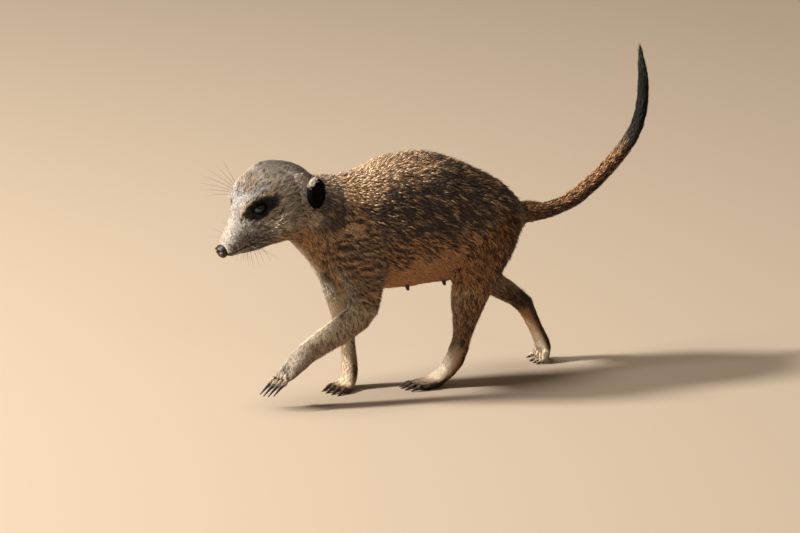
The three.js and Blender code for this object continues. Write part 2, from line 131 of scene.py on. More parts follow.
def mesh_arrays(mesh):
    """Points in millimetres, triangles and edges of a mesh."""
    mesh.calc_loop_triangles()
    triangles = read_array(mesh.loop_triangles, "vertices", 3, np.int32)
    return mesh_points(mesh), triangles, read_array(mesh.edges, "vertices", 2, np.int32)


def node_points(name):
    return mesh_points(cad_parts[name].data)


def box_middle(points):
    return (points.max(0) + points.min(0)) / 2


def link(item):
    bpy.context.scene.collection.objects.link(item)
    return item


def make_piece(name, points, faces, material, attributes=None, uv=None):
    """A mesh object from millimetre points and triangles, on the model's body and in a material slot."""
    faces = np.asarray(faces, np.int32)
    mesh = bpy.data.meshes.new(name)
    mesh.vertices.add(len(points))
    mesh.vertices.foreach_set("co", (np.asarray(points) * MM).astype(np.float32).ravel())
    mesh.loops.add(faces.size)
    mesh.loops.foreach_set("vertex_index", faces.ravel())
    mesh.polygons.add(len(faces))
    mesh.polygons.foreach_set("loop_start", np.arange(0, faces.size, 3, dtype=np.int32))
    mesh.update(calc_edges=True)
    mesh.shade_smooth()
    for key, values in (attributes or {}).items():
        values = np.asarray(values, np.float32)
        form, field = ("FLOAT", "value") if values.ndim == 1 else ("FLOAT_VECTOR", "vector")
        mesh.attributes.new(key, form, "POINT").data.foreach_set(field, values.ravel())
    if uv is not None:
        layer = mesh.uv_layers.new(name="OFBake")
        layer.uv.foreach_set("vector", uv[faces.ravel()].astype(np.float32).ravel())
    piece = link(bpy.data.objects.new(name, mesh))
    mesh.materials.append(material)
    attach(piece, BODY)
    return piece


# %% [markdown]
# Materials are trees of nodes. Wiring them by hand in the editor is easy to see but hard to repeat, so a
# small class makes a node, names its inputs and joins them in one call. An input's name is written with
# `_` for a space.

# %% Shader nodes in short calls
def rgba(colour):
    return (*colour, 1)


class Graph:
    """Adds nodes to a material or a group and joins their sockets."""

    def __init__(self, tree):
        self.tree = tree

    def join(self, socket, value):
        if isinstance(value, bpy.types.NodeSocket):
            self.tree.links.new(value, socket)
        else:
            socket.default_value = value

    def feed(self, node, **sockets):
        for key, value in sockets.items():
            self.join(node.inputs[key.replace("_", " ")], value)

    def node(self, kind, settings=None, **sockets):
        made = self.tree.nodes.new(kind)
        for key, value in (settings or {}).items():
            setattr(made, key, value)
        self.feed(made, **sockets)
        return made

    def maths(self, operation, *values, clamp=False):
        made = self.node("ShaderNodeMath", {"operation": operation, "use_clamp": clamp})
        for socket, value in zip(made.inputs, values):
            self.join(socket, value)
        return made.outputs[0]

    def blend(self, share, first, second, kind="MIX"):
        made = self.node("ShaderNodeMix", {"data_type": "RGBA", "blend_type": kind})
        for place, value in ((0, share), (6, first), (7, second)):
            self.join(made.inputs[place], value)
        return made.outputs[2]

    def colour_ramp(self, share, stops):
        made = self.node("ShaderNodeValToRGB", Fac=share)
        elements = made.color_ramp.elements
        for place, _ in stops[:-2]:
            elements.new(place + 0.001)
        for element, (place, tone) in zip(sorted(elements, key=lambda e: e.position), stops):
            element.position, element.color = place, rgba(tone)
        return made.outputs["Color"]

    def attribute(self, name, kind="Fac"):
        return self.node("ShaderNodeAttribute", {"attribute_name": name}).outputs[kind]

    def object_place(self):
        return self.node("ShaderNodeTexCoord").outputs["Object"]

    def group(self, tree, **sockets):
        return self.node("ShaderNodeGroup", {"node_tree": tree}, **sockets).outputs


def new_group(name, inputs, outputs):
    tree = bpy.data.node_groups.new(name, "ShaderNodeTree")
    for direction, sockets in (("INPUT", inputs), ("OUTPUT", outputs)):
        for title, kind in sockets.items():
            tree.interface.new_socket(title, in_out=direction, socket_type=f"NodeSocket{kind}")
    graph = Graph(tree)
    return graph, graph.node("NodeGroupInput").outputs, graph.node("NodeGroupOutput")


def new_material(name, **sockets):
    """A material, its graph and its shader, whose own sockets take the values given."""
    material = bpy.data.materials.new(name)
    material.use_nodes = True
    graph, shader = Graph(material.node_tree), material.node_tree.nodes["Principled BSDF"]
    graph.feed(shader, **sockets)
    return material, graph, shader


# %% [markdown]
# A studio shot of a small animal is taken with a long lens from a few metres away. The floor is plain
# and pale, a soft light stands ahead of the animal and above it, so that the bridge of the nose, the
# throat and the front of the legs catch it, and weaker ones fill the side that faces the camera.

# %% Camera, floor and lights
CAMERA_AZIMUTH, CAMERA_ELEVATION = math.radians(62), math.radians(14)
CAMERA_DISTANCE = 4.6667
LENS, SENSOR_WIDTH = 300, 36
LOOK_AT = Vector((-0.00032, -0.02815, 0.0871))
FLOOR_HALF, FLOOR_COLOUR = 9, (0.285, 0.23, 0.175)
WARM_LIGHT = (1, 0.95, 0.86)


def aim(item, way):
    """Turns a light or camera, which both look along their own -Z, so that their back faces a way."""
    item.rotation_mode = "QUATERNION"
    item.rotation_quaternion = way.to_track_quat("Z", "Y")


def soft_light(name, direction, distance, size, power, colour):
    light = link(bpy.data.objects.new(name, bpy.data.lights.new(name, "AREA")))
    light.data.shape, light.data.size = "DISK", size
    light.data.energy, light.data.color = power, colour
    towards = Vector(direction).normalized()
    light.location = LOOK_AT + towards * distance
    aim(light, towards)


camera = link(bpy.data.objects.new("camera", bpy.data.cameras.new("camera")))
camera.data.lens, camera.data.sensor_width = LENS, SENSOR_WIDTH
back = Vector((
    math.sin(CAMERA_AZIMUTH) * math.cos(CAMERA_ELEVATION),
    -math.cos(CAMERA_AZIMUTH) * math.cos(CAMERA_ELEVATION),
    math.sin(CAMERA_ELEVATION),
))
camera.location = LOOK_AT + back * CAMERA_DISTANCE
aim(camera, back)
scene = bpy.context.scene
scene.camera = camera
scene.view_settings.view_transform = "Standard"

floor_mesh = bpy.data.meshes.new("floor")
corners = [(x * FLOOR_HALF, y * FLOOR_HALF, 0) for x, y in ((-1, -1), (1, -1), (1, 1), (-1, 1))]
floor_mesh.from_pydata(corners, [], [(0, 1, 2, 3)])
floor_material, *_ = new_material("pale floor", Base_Color=rgba(FLOOR_COLOUR), Roughness=0.8)
floor_mesh.materials.append(floor_material)
link(bpy.data.objects.new("floor", floor_mesh))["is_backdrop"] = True

soft_light("key", (-0.26, -0.80, 0.55), 3.0, 0.4, 275, WARM_LIGHT)
soft_light("fill", (0.9, -0.2, 0.55), 2.6, 0.5, 6, (1, 0.88, 0.78))
soft_light("top", (-0.1, -0.35, 1.0), 2.4, 1.0, 52, WARM_LIGHT)
scene.world = bpy.data.worlds.new("studio")
scene.world.use_nodes = True
Graph(scene.world.node_tree).feed(
    scene.world.node_tree.nodes["Background"], Color=(1, 0.72, 0.52, 1), Strength=0.2
)
print("camera at", [round(n, 3) for n in camera.location])

# %% [markdown]
# The head, neck, trunk, tail, legs and feet are separate solids with thin gaps. On the animal they are
# one hide. Each solid is swollen a little so that the gaps close, the union is rebuilt with a voxel
# remesh into one even grid, and the facets are relaxed away. Sculpting by hand would do the same, but
# a voxel grid gives evenly spaced points, which is what hair roots need.

# %% Join the flesh into one shell
VOXEL, SWELL = 1.15, 0.26
FLESH = [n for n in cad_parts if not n.startswith(("claw_", "ear_")) and n != "nose"]
LABELS = {name: k for k, name in enumerate(FLESH)}


def swollen_union(names, swell, voxel):
    """Points, triangles and edges of an even grid round some nodes."""
    gathered = bmesh.new()
    for name in names:
        gathered.from_mesh(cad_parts[name].data)
    bmesh.ops.remove_doubles(gathered, verts=gathered.verts, dist=1e-6)
    gathered.normal_update()
    for vertex in gathered.verts:
        vertex.co += vertex.normal * swell * MM
    mesh = bpy.data.meshes.new("union")
    gathered.to_mesh(mesh)
    gathered.free()
    holder = link(bpy.data.objects.new("union", mesh))
    remesh = holder.modifiers.new("even grid", "REMESH")
    remesh.mode, remesh.voxel_size = "VOXEL", voxel * MM
    result = bpy.data.meshes.new_from_object(holder.evaluated_get(bpy.context.evaluated_depsgraph_get()))
    bpy.data.objects.remove(holder)
    return mesh_arrays(result)


shell = swollen_union(FLESH, SWELL, VOXEL)
tell("shell:", len(shell[0]), "points")

# %% [markdown]
# Each point of the shell belongs to the solid that it lies on. That label says how deep, long and dense
# the coat is there. Averaging over neighbours many times turns the hard borders between labels into
# soft ones, just as a groomer paints a length map with a soft brush.

# %% Tools that work over the surface
class Surface:
    """A mesh as arrays, with the averages and normals that grooming needs."""

    def __init__(self, points, triangles, edges):
        self.points, self.triangles, self.edges = points, triangles, edges
        self.degree = np.bincount(edges.ravel(), minlength=len(points))[:, None]

    def mean_of_neighbours(self, values):
        a, b = self.edges.T
        count = len(self.points)
        columns = [np.bincount(a, v[b], count) + np.bincount(b, v[a], count) for v in values.T]
        return np.stack(columns, 1) / self.degree

    def blur(self, values, rounds, share=0.9):
        flat = values.ndim == 1
        values = values[:, None] if flat else values
        for _ in range(rounds):
            values = values + share * (self.mean_of_neighbours(values) - values)
        return values[:, 0] if flat else values

    def relax(self, rounds, share):
        """Moves points towards their neighbours' middle; share may differ from point to point."""
        for _ in range(rounds):
            self.points += share * (self.mean_of_neighbours(self.points) - self.points)

    def across(self):
        """The cross product of each triangle's sides: its normal, as long as twice its area."""
        a, b, c = (self.points[self.triangles[:, k]] for k in range(3))
        return np.cross(b - a, c - a)

    def normals(self):
        across, count = self.across(), len(self.points)
        total = [
            sum(np.bincount(self.triangles[:, k], across[:, axis], count) for k in range(3))
            for axis in range(3)
        ]
        return unit(np.stack(total, 1))


def label_points(points):
    """The number of the solid that each point lies nearest to."""
    corners, faces, owner = [], [], []
    for name, number in LABELS.items():
        places, triangles, _ = mesh_arrays(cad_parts[name].data)
        faces.extend((triangles + len(corners)).tolist())
        corners.extend(places.tolist())
        owner.extend([number] * len(triangles))
    tree = BVHTree.FromPolygons(corners, faces)
    return np.array([owner[tree.find_nearest(p)[2]] for p in points.tolist()])


skin = Surface(*shell)
label = label_points(skin.points)
tell("labelled")

# %% [markdown]
# The coat's measures come from the species: longest on the back and flanks, short on the legs, shorter
# still on the face and feet. The table holds, for each kind of node, the depth from skin to hair tips,
# the length of a tuft, its width, how thickly tufts stand and how far the shell is relaxed.

# %% The coat's measures by region
COAT = {
    # node: depth mm, length mm, width mm, tufts per square mm, relaxing of the shell
    "head": (1.5, 4.2, 0.5, 3.7, 0.4),
    "lower_jaw": (0.9, 3.0, 0.38, 4.2, 0.3),
    "eye": (0.9, 1.8, 0.3, 4.5, 0.4),
    "neck": (3.0, 7.0, 0.64, 2.3, 1.0),
    "trunk": (4.0, 8.6, 0.8, 1.9, 1.0),
    "tail_base": (1.9, 6.0, 0.56, 2.8, 0.4),
    "tail_middle": (1.6, 5.6, 0.5, 3.2, 0.25),
    "tail_tip": (1.2, 5.6, 0.46, 3.8, 0.12),
    "upper_arm": (2.5, 6.0, 0.6, 2.4, 0.8),
    "forearm": (1.5, 4.4, 0.46, 3.4, 0.3),
    "thigh": (2.9, 7.0, 0.62, 2.3, 0.9),
    "shank": (1.8, 4.8, 0.46, 3.0, 0.35),
    "paw": (0.8, 2.7, 0.34, 4.4, 0.13),
}
RELAX_ROUNDS, RELAX_SHARE = 30, 0.95


def coat_kind(name):
    if "_paw_" in name:
        return "paw"
    return name if name in COAT else name.rsplit("_", 1)[0]


def coat_measures():
    return skin.blur(np.array([COAT[coat_kind(name)] for name in FLESH])[label], 12)


measures = coat_measures()
skin.relax(RELAX_ROUNDS, RELAX_SHARE * measures[:, 4:])
tell("relaxed")

# %% [markdown]
# Hair lies along the bones: from the nose back to the tail, and down each leg to the toes. Cutting the
# solids with planes gives the middle of each section, and the middles give a line for every limb. The
# same lines give each point its place along the limb and round it, which markings and UV maps use.

# %% Lines through the middle of the body
def plane_cut(name, place, way):
    """Where a plane meets the edges of a node."""
    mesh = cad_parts[name].data
    corners = node_points(name)
    a, b = read_array(mesh.edges, "vertices", 2, np.int32).T
    side = (corners - place) @ way
    cut = side[a] * side[b] < 0
    a, b = a[cut], b[cut]
    share = side[a] / (side[a] - side[b])
    return corners[a] + share[:, None] * (corners[b] - corners[a])


def meeting(first, second, gap=1.5):
    """The middle of the face where two nodes meet."""
    tree = tree_of(node_points(second))
    return np.mean([p for p in node_points(first) if tree.find(p)[2] < gap], 0)


def middle_line(name, start, end, cuts):
    """The middles of evenly spaced cuts across a node."""
    way = unit(end - start)
    shares = (np.arange(cuts) + 0.5) / cuts
    return [box_middle(plane_cut(name, start + t * (end - start), way)) for t in shares]


def claws_of(end, side):
    return [node_points(f"claw_{end}_{side}_{digit}") for digit in (1, 2, 3, 4)]


eye_left, eye_right = (box_middle(node_points(f"eye_{side}")) for side in ("left", "right"))
MIDDLE_X = (eye_left[0] + eye_right[0]) / 2
nose_points, tail_points = node_points("nose"), node_points("tail_tip")
nose_tip = nose_points[nose_points[:, 1].argmin()] * (0, 1, 1) + (MIDDLE_X, 0, 0)
tail_end = tail_points[tail_points[:, 2].argmax()]
tail_start = node_points("tail_base").min(0) + (0, 8, 0)
tail_root = box_middle(plane_cut("tail_base", tail_start, np.array([0, 1.0, 0])))
# How many cuts each node of the spine gets.
SPINE = {"head": 4, "neck": 1, "trunk": 5, "tail_base": 3, "tail_middle": 4, "tail_tip": 5}
stops = [nose_tip, meeting("head", "neck"), meeting("neck", "trunk"), tail_root]
stops += [meeting("tail_base", "tail_middle"), meeting("tail_middle", "tail_tip"), tail_end]
spine_line = [nose_tip]
for (name, cuts), start, end in zip(SPINE.items(), stops, stops[1:]):
    spine_line += middle_line(name, start, end, cuts)
spine_line = np.array(spine_line + [tail_end])
spine_line[:, 0] = MIDDLE_X

LINES = {"spine": spine_line}
for end, upper, lower in (("fore", "upper_arm", "forearm"), ("hind", "thigh", "shank")):
    for side in ("left", "right"):
        upper_node, lower_node, paw = f"{upper}_{side}", f"{lower}_{side}", f"{end}_paw_{side}"
        bend, wrist = meeting(upper_node, lower_node), meeting(lower_node, paw)
        top = node_points(upper_node).mean(0) * 2 - bend
        claws = np.vstack(claws_of(end, side))
        toes = claws[np.linalg.norm(claws - wrist, axis=1).argsort()[: len(claws) // 3]].mean(0)
        tips = claws.mean(0) + (claws.mean(0) - toes)
        LINES[f"{end}_{side}"] = np.array(
            [top, *middle_line(upper_node, top, bend, 3)[1:], bend]
            + middle_line(lower_node, bend, wrist, 3)
            + [wrist, *middle_line(paw, wrist, toes, 4)[1:3], toes, tips]
        )
print("lines:", {name: f"{len(line)} points" for name, line in LINES.items()})

# %% [markdown]
# A point's nearest place on its line gives three things at once: how far along the body it is, the
# middle that it lies round, and the way that hair should run there.

# %% Places along the lines
def line_of(name):
    if name.startswith(("head", "lower_jaw", "eye", "neck", "trunk", "tail")):
        return "spine"
    end = "fore" if name.startswith(("upper_arm", "forearm", "fore_")) else "hind"
    return f"{end}_{name.rsplit('_', 1)[1]}"


def along_line(points, line):
    """Distance along a line, nearest place on it and the line's way there, for each point."""
    best = np.full(len(points), np.inf)
    run, spot, way = np.zeros(len(points)), np.zeros(points.shape), np.zeros(points.shape)
    travelled = 0.0
    for a, b in zip(line, line[1:]):
        length = np.linalg.norm(b - a)
        share = np.clip((points - a) @ (b - a) / length**2, 0, 1)
        near = a + share[:, None] * (b - a)
        gap = np.linalg.norm(points - near, axis=1)
        closer = gap < best
        best[closer] = gap[closer]
        run[closer] = travelled + share[closer] * length
        spot[closer], way[closer] = near[closer], (b - a) / length
        travelled += length
    return run, spot, way


print("the spine line is", round(np.linalg.norm(np.diff(spine_line, axis=0), axis=1).sum()), "mm long")

# %% [markdown]
# The skin is the shell drawn in by the coat's depth. The belly and groin are nearly bare, the cheeks
# and the ruff behind them are deeper than the forehead, and the muzzle has almost no depth at all.

# %% Draw the skin in by the depth of the coat
DRAW_STEPS = 4
HEAD_NODES = ("head", "lower_jaw", "eye_left", "eye_right")


def mirrored(points):
    """Points with their distance from the middle plane in place of X."""
    return np.stack([np.abs(points[:, 0] - MIDDLE_X), points[:, 1], points[:, 2]], 1)


def lies_on(*names):
    return np.isin(label, [LABELS[n] for n in names])


def muzzle_and_cheek(head):
    """Masks for the parts of the head where the coat is thinnest and deepest."""
    return head * ramp(-half[:, 1], 146, 160), head * bump_at(half, (24, -127, 132), (14, 13, 10))


half = mirrored(skin.points)
muzzle, cheek = muzzle_and_cheek(lies_on(*HEAD_NODES))
belly = lies_on("trunk") * ramp(-skin.normals()[:, 2], 0.25, 0.8)
depth = skin.blur(measures[:, 0] * (1 - 0.6 * muzzle) * (1 + 0.7 * cheek) * (1 - 0.65 * belly), 8)
for _ in range(DRAW_STEPS):
    skin.points -= skin.blur(skin.normals(), 2) * depth[:, None] / DRAW_STEPS
print("skin drawn in by", depth.min().round(1), "to", depth.max().round(1), "mm")

# %% [markdown]
# A millimetre grid is too coarse for a face. The grid's squares round the eyes, nose and mouth are each
# split into four, which leaves the rest of the body light.

# %% Refine the face
FACE_BACK = -137  # y where the finer grid ends
FACE_RELAX, SMOOTHING = 3, 0.6


def with_fine_face(surface):
    """The surface with its squares before FACE_BACK split into four."""
    mesh = bpy.data.meshes.new("skin")
    mesh.from_pydata((surface.points * MM).tolist(), [], surface.triangles.tolist())
    grid = bmesh.new()
    grid.from_mesh(mesh)
    bmesh.ops.join_triangles(
        grid, faces=grid.faces, angle_face_threshold=1.0, angle_shape_threshold=1.0,
        cmp_seam=False, cmp_sharp=False, cmp_uvs=False, cmp_vcols=False, cmp_materials=False,
    )
    chosen = [e for e in grid.edges if all(v.co.y < FACE_BACK * MM for v in e.verts)]
    bmesh.ops.subdivide_edges(grid, edges=chosen, cuts=1, use_grid_fill=True, smooth=0.0)
    bmesh.ops.triangulate(grid, faces=[f for f in grid.faces if len(f.verts) > 4])
    grid.to_mesh(mesh)
    grid.free()
    return Surface(*mesh_arrays(mesh))


skin = with_fine_face(skin)
label = label_points(skin.points)
skin.relax(FACE_RELAX, SMOOTHING * (skin.points[:, 1:2] < FACE_BACK))
tell("skin:", len(skin.points), "points")

# %% [markdown]
# The eye is set in the side of the head and looks out, forward and a little up. Its slit rises to the
# back. The same two directions place the eyeball's iris, the lids and the hollow that the skin makes.

# %% Sculpt the sockets, the mouth and the folds
EYE_RADIUS = 5.2
EYE_OUT = unit([0.85, -0.5, 0.13])
SLIT_HALF, SLIT_HIGH = 4.5, 2.4
MOUTH_POINT, MOUTH_NORMAL = np.array((0, -163.5, 113.1)), unit([0, 0.4, -0.916])
MOUTH_CORNER_Y = -139


def eye_axes(way):
    """A way laid across the line of sight, and the way up that goes with it."""
    way = unit(way - (way @ EYE_OUT) * EYE_OUT)
    up = np.cross(way, EYE_OUT)
    return way, up if up[2] > 0 else -up


def in_slit(from_eye):
    """0 at the middle of the slit between the lids and 1 at its edge."""
    return np.hypot(from_eye @ SLIT_WAY / SLIT_HALF, from_eye @ LID_WAY / SLIT_HIGH)


SLIT_WAY, LID_WAY = eye_axes(np.array([0.42, 0.77, 0.42]))
HALF_EYE = eye_left - (MIDDLE_X, 0, 0)
half = mirrored(skin.points)
is_head, normals = lies_on(*HEAD_NODES), skin.normals()
from_eye = half - HALF_EYE
hollow = 3.4 * (1 - ramp(in_slit(from_eye), 0.85, 1.5)) * (from_eye @ EYE_OUT > 0)
mouth_gap = (half - MOUTH_POINT) @ MOUTH_NORMAL
mouth_run = 1 - ramp(half[:, 1], MOUTH_CORNER_Y - 5, MOUTH_CORNER_Y)
groove = 0.85 * line_bump(mouth_gap, 0.55) * mouth_run
lip = 0.35 * line_bump(mouth_gap + 1.5, 0.9) * mouth_run
tear_line = 0.5 * bump_at(half, (9.8, -158, 135), (2.0, 3.2, 2.2))
brow_ridge = 1.5 * bump_at(half, (13.5, -152.5, 149.5), (4.0, 4.5, 3.2))
skin.points -= normals * ((groove - lip + tear_line - brow_ridge) * is_head)[:, None]
sides = np.sign(skin.points[:, 0] - MIDDLE_X)
outward = np.stack([sides * EYE_OUT[0], *np.tile(EYE_OUT[1:, None], len(half))], 1)
skin.points -= outward * (hollow * is_head)[:, None]
print("eye hollows", (hollow > 1).sum(), "points; mouth line", (groove > 0.3).sum(), "points")

# %% [markdown]
# The markings are painted by rule, not by hand: each is a soft mask made from a point's place on the
# body, so that skin and hair, which read the same masks, always agree. Every marking is noted with how
# much it makes the coat pale, dark, warm or flecked, and the sums are taken when all are known. Some
# masks paint light and shade into the coat besides its own colour; each is noted where it is made.

# %% Masks for the markings
marks = []


def mark(mask, pale=0, dark=0, warm=0, fleck=0):
    """Notes a marking; a value below 0 takes that much away."""
    marks.append((mask, (pale, dark, warm, fleck)))


def drift(points, size, seed):
    """Soft noise, mostly from -1 to 1, whose blotches are about size millimetres across."""
    shift = Vector((seed * 17.3, seed * 5.1, seed * 9.7))
    return np.array([noise.noise(Vector(p) + shift) for p in (points / size).tolist()]) * 1.6


def of_nodes(*starts):
    """1 on the nodes whose names start so, with a soft edge."""
    return skin.blur(lies_on(*[n for n in FLESH if n.startswith(starts)]).astype(float), 5)


half = mirrored(skin.points)
h, y, z = half.T
normals = unit(skin.blur(skin.normals(), 2))
side_facing, (back_facing, up_facing) = np.abs(normals[:, 0]), normals.T[1:]
on_left = skin.points[:, 0] > MIDDLE_X
coarse, fine = drift(skin.points, 9, 1), drift(skin.points, 2.2, 2)
run, spot, way = np.zeros(len(half)), np.zeros(half.shape), np.zeros(half.shape)
for name in FLESH:
    here = lies_on(name)
    run[here], spot[here], way[here] = along_line(skin.points[here], LINES[line_of(name)])

head = of_nodes("head", "lower_jaw", "eye_")
neck, trunk, tail = (of_nodes(name) for name in ("neck", "trunk", "tail"))
upper_arm, forearm, fore_paw = (of_nodes(name) for name in ("upper_arm", "forearm", "fore_paw"))
thigh, shank, hind_paw = (of_nodes(name) for name in ("thigh", "shank", "hind_paw"))
print("coarse drift from", coarse.min().round(2), "to", coarse.max().round(2))

# %% [markdown]
# A meerkat's face is pale with a dusky muzzle. A black patch lies round each eye and runs back and up,
# which cuts the glare of the desert. Pale brows and cheeks frame it, and pale tufts stand by the ears.

# %% Markings of the face
PATCH_WAY, PATCH_UP = eye_axes(np.array([0.45, 0.73, 0.52]))
from_eye = half - HALF_EYE
patch_along, patch_up, patch_out = from_eye @ PATCH_WAY, from_eye @ PATCH_UP, from_eye @ EYE_OUT
patch_shape = (np.abs(patch_along + 0.3) / 14.5) ** 1.4 + (np.abs(patch_up + 0.2) / 6.0) ** 2
on_face = head * (patch_out > -12)
eye_patch = (1 - ramp(patch_shape + 0.2 * fine, 0.85, 1.15)) * on_face
eye_patch += head * ~on_left * bump_at(half, (9.8, -155, 144.5), (2.4, 2.8, 3.4))
lip_line = line_bump(mouth_gap, 0.9) * mouth_run * head

bridge = head * (1 - ramp(h + 0.8 * fine, 5.0, 8.5)) * ramp(-y, 146, 156)
bridge *= ramp(z - 112 + (y + 168) * 0.5, 0, 5)
muzzle_side = head * ramp(-y, 136, 150) * ramp(h, 4.5, 8) * (1 - ramp(z, 132, 141))
brow = line_bump(patch_up - 10.5, 2.6) * (1 - ramp(np.abs(patch_along + 1), 9, 17)) * on_face
chin = head * (1 - ramp(-mouth_gap, -0.5, 1.0)) * ramp(-y, 136, 146)
mark(head, pale=0.28, dark=0.16, fleck=0.6)
# Painted light: the crown is paler and warmer where it faces up.
mark(head * ramp(up_facing, 0.35, 0.8) * (y > -146), pale=0.45, dark=-0.3, warm=0.15)  # crown
mark(head * bump_at(half, (22, -125, 147), (9, 8, 9)), pale=0.3, dark=-0.1)  # behind the eye
mark(bridge, pale=0.35, dark=0.38, fleck=-0.75)
mark(bridge * ramp(y, -164, -154), dark=0.4, fleck=0.75)
mark(brow, pale=0.7)
mark(head * bump_at(half, (9.5, -155, 150), (5, 6, 8)), pale=0.2, dark=0.15)  # before the brow
mark(head * bump_at(half, (22, -140, 133), (10, 15, 7)), pale=0.95, dark=-0.15, warm=0.7)  # cheek
mark(muzzle_side, pale=0.3, dark=1.0, fleck=0.4)
mark(muzzle_side * fine, pale=0.3, dark=-0.5)
mark(chin, dark=0.75)
print("eye patches:", (eye_patch > 0.5).sum(), "points")

# %% [markdown]
# Round the ear the coat changes within a few millimetres: pale tufts before and above it, painted shade
# in the fold under it and dark hair behind. The throat is warm underneath, partly its own tone and partly
# painted warm light from the floor, and a painted rim of light runs down the front of the chest.

# %% Markings of the ears, throat and chest
ear_tuft = head * bump_at(half, (18.5, -116, 163.5), (4.5, 5, 4))
before_ear = head * bump_at(half, (22, -115, 153), (5, 4.5, 9))
behind_ear = (neck + 0.6 * head) * ramp(z, 124, 134) * (1 - ramp(z, 148, 156)) * side_facing
behind_ear *= ramp(y, -108, -100)
neck_and_head = neck + head
# The throat's underside is warm, partly its own tone and partly painted warm light from the floor.
throat_tone_and_bounce = (head * (y > -136) + neck + trunk * (y < -60)) * ramp(-up_facing, 0.1, 0.7)
# A painted rim of light down the front of the throat and chest.
chest_rim_light = (neck + trunk * ramp(-y, 66, 74)) * (1 - ramp(h, 3, 8))
chest_rim_light *= ramp(-back_facing - up_facing, 0.45, 1.1)
mark(ear_tuft, pale=0.9)
mark(before_ear, pale=0.6)
mark(behind_ear, dark=1.1)
mark(neck_and_head * bump_at(half, (22, -107, 136), (8, 6, 5)), pale=1.0, warm=0.8)  # under the ear
# Painted shade in the fold under the ear.
mark(neck_and_head * bump_at(half, (23, -101, 131), (8, 7, 2.2)), dark=0.8)  # fold under the ear
mark(neck_and_head * bump_at(half, (21, -106, 129), (9, 8, 9)), warm=0.6)
mark(neck * ramp(-z, -134, -116), warm=0.45)
mark(throat_tone_and_bounce * ramp(h, 3, 9), warm=0.55)
mark(chest_rim_light, pale=1.0, warm=0.5, fleck=-0.8)
print("chest rim:", (chest_rim_light > 0.5).sum(), "points")

# %% [markdown]
# The back carries broken dark bars that slant across it. A sine along the body gives the bars and noise
# breaks them up. The neck and shoulders have finer rows, the flank is dusky, the belly nearly bare.
# Where the flank faces sideways it is darkened further as painted shade, and the top of the neck and
# the front of the back are painted paler and warmer as sunlit where they face up.

# %% Markings of the back, the flank and the tail
bar_wave = np.sin(2 * np.pi * (y + 0.30 * h - 0.12 * z) / 8.2 + 1.8 * coarse)
broken = drift(skin.points * (1, 0.38, 1), 3.4, 3)
upper_back = trunk * ramp(z, 112, 134)
gaps_between = ramp(broken, 0.12, 0.6) * (upper_back * (1 - 0.5 * ramp(-y, 46, 80)) + 0.5 * thigh)
in_rows = neck + upper_arm + trunk * ramp(-y, 52, 66) * (1 - ramp(z, 126, 142))
rows = np.sin(2 * np.pi * (run + 0.25 * z) / 3.1 + 3.2 * drift(skin.points, 7, 4))
rows *= in_rows + forearm * on_left
belly_edge = 100 - 7 * ramp(-y, 25, 60) + 4.5 * coarse + 1.5 * fine
belly = trunk * (1 - ramp(z - belly_edge, -9, 7)) * ramp(y, -74, -60)
# The flank masks leave out what faces up, so their darkness is partly the flank's own dusky colour and
# partly painted shade.
flank_and_shade = trunk * ramp(z - belly_edge, -6, 9) * (1 - ramp(up_facing, 0.3, 0.75))
upper_flank_and_shade = trunk * ramp(z, 110, 128) * (1 - ramp(up_facing, 0.5, 0.85)) * ramp(y, -66, -50)
# Painted sunlight: the top of the neck and the front of the back are paler and warmer where they face up.
painted_sunlit_top = (neck + trunk * (1 - ramp(y, -40, 15))) * ramp(up_facing, 0.35, 0.85) * ramp(z, 118, 132)
rump = (trunk + thigh) * ramp(y, 10, 55)
tail_black = tail * ramp(run + 5 * fine, 348, 372)
mark(ramp(bar_wave + 1.2 * broken, 0.0, 1.1) * upper_back * ramp(y, -50, -8), dark=0.4)  # bars
mark(gaps_between, dark=0.15)
mark(painted_sunlit_top, pale=0.45, warm=0.6)
mark(upper_back * ramp(y, -30, 10), dark=0.45)
# Painted light: the front of the back is less dark where it faces up.
mark(upper_back * (1 - ramp(y, -34, 20)) * ramp(up_facing, 0.4, 0.85), dark=-0.45)
mark(in_rows, pale=0.1, dark=0.2, warm=-0.2, fleck=-0.75)
mark(flank_and_shade, pale=0.1, dark=0.62, warm=0.15)
mark(flank_and_shade * coarse, dark=0.062)
# The low flank is warmer, partly its own tan and partly painted warm light from the floor.
mark(flank_and_shade * (1 - ramp(z, 112, 124)), warm=0.8)
mark(upper_flank_and_shade, dark=0.65)
mark(rump, dark=0.45, warm=0.25)
mark(belly, pale=0.12, dark=-0.35, warm=1.0, fleck=-0.6)
mark(trunk * (1 - ramp(y, -75, -60)) * (1 - ramp(z, 112, 124)), dark=0.1, fleck=-0.25)  # chest's side
mark(tail, dark=0.4, warm=0.6, fleck=-0.4)
# The tail's underside is darker, partly its own colour and partly painted shade.
mark(tail * ramp(-(normals @ unit([0, -0.7, 0.7])), -0.75, 0.1), dark=0.6, warm=0.4)  # under the tail
mark(tail * ramp(run, 268, 420), dark=0.35)
print("belly:", (belly > 0.5).sum(), "points; black of the tail:", (tail_black > 0.5).sum())

# %% [markdown]
# The arms and the fronts of the feet are cream and their backs dusky. The thighs and shanks are tan.
# The inner side of a limb is smoother and paler, except on the thigh, which is dark there. Front faces
# are also painted paler as lit and back faces darker as in shade; the near upper arm gets painted shade,
# the far one painted light, and a painted rim of light runs along the front of the upper arm.

# %% Markings of the limbs
ON_LIMBS = lies_on(*[name for name in FLESH if line_of(name) != "spine"])
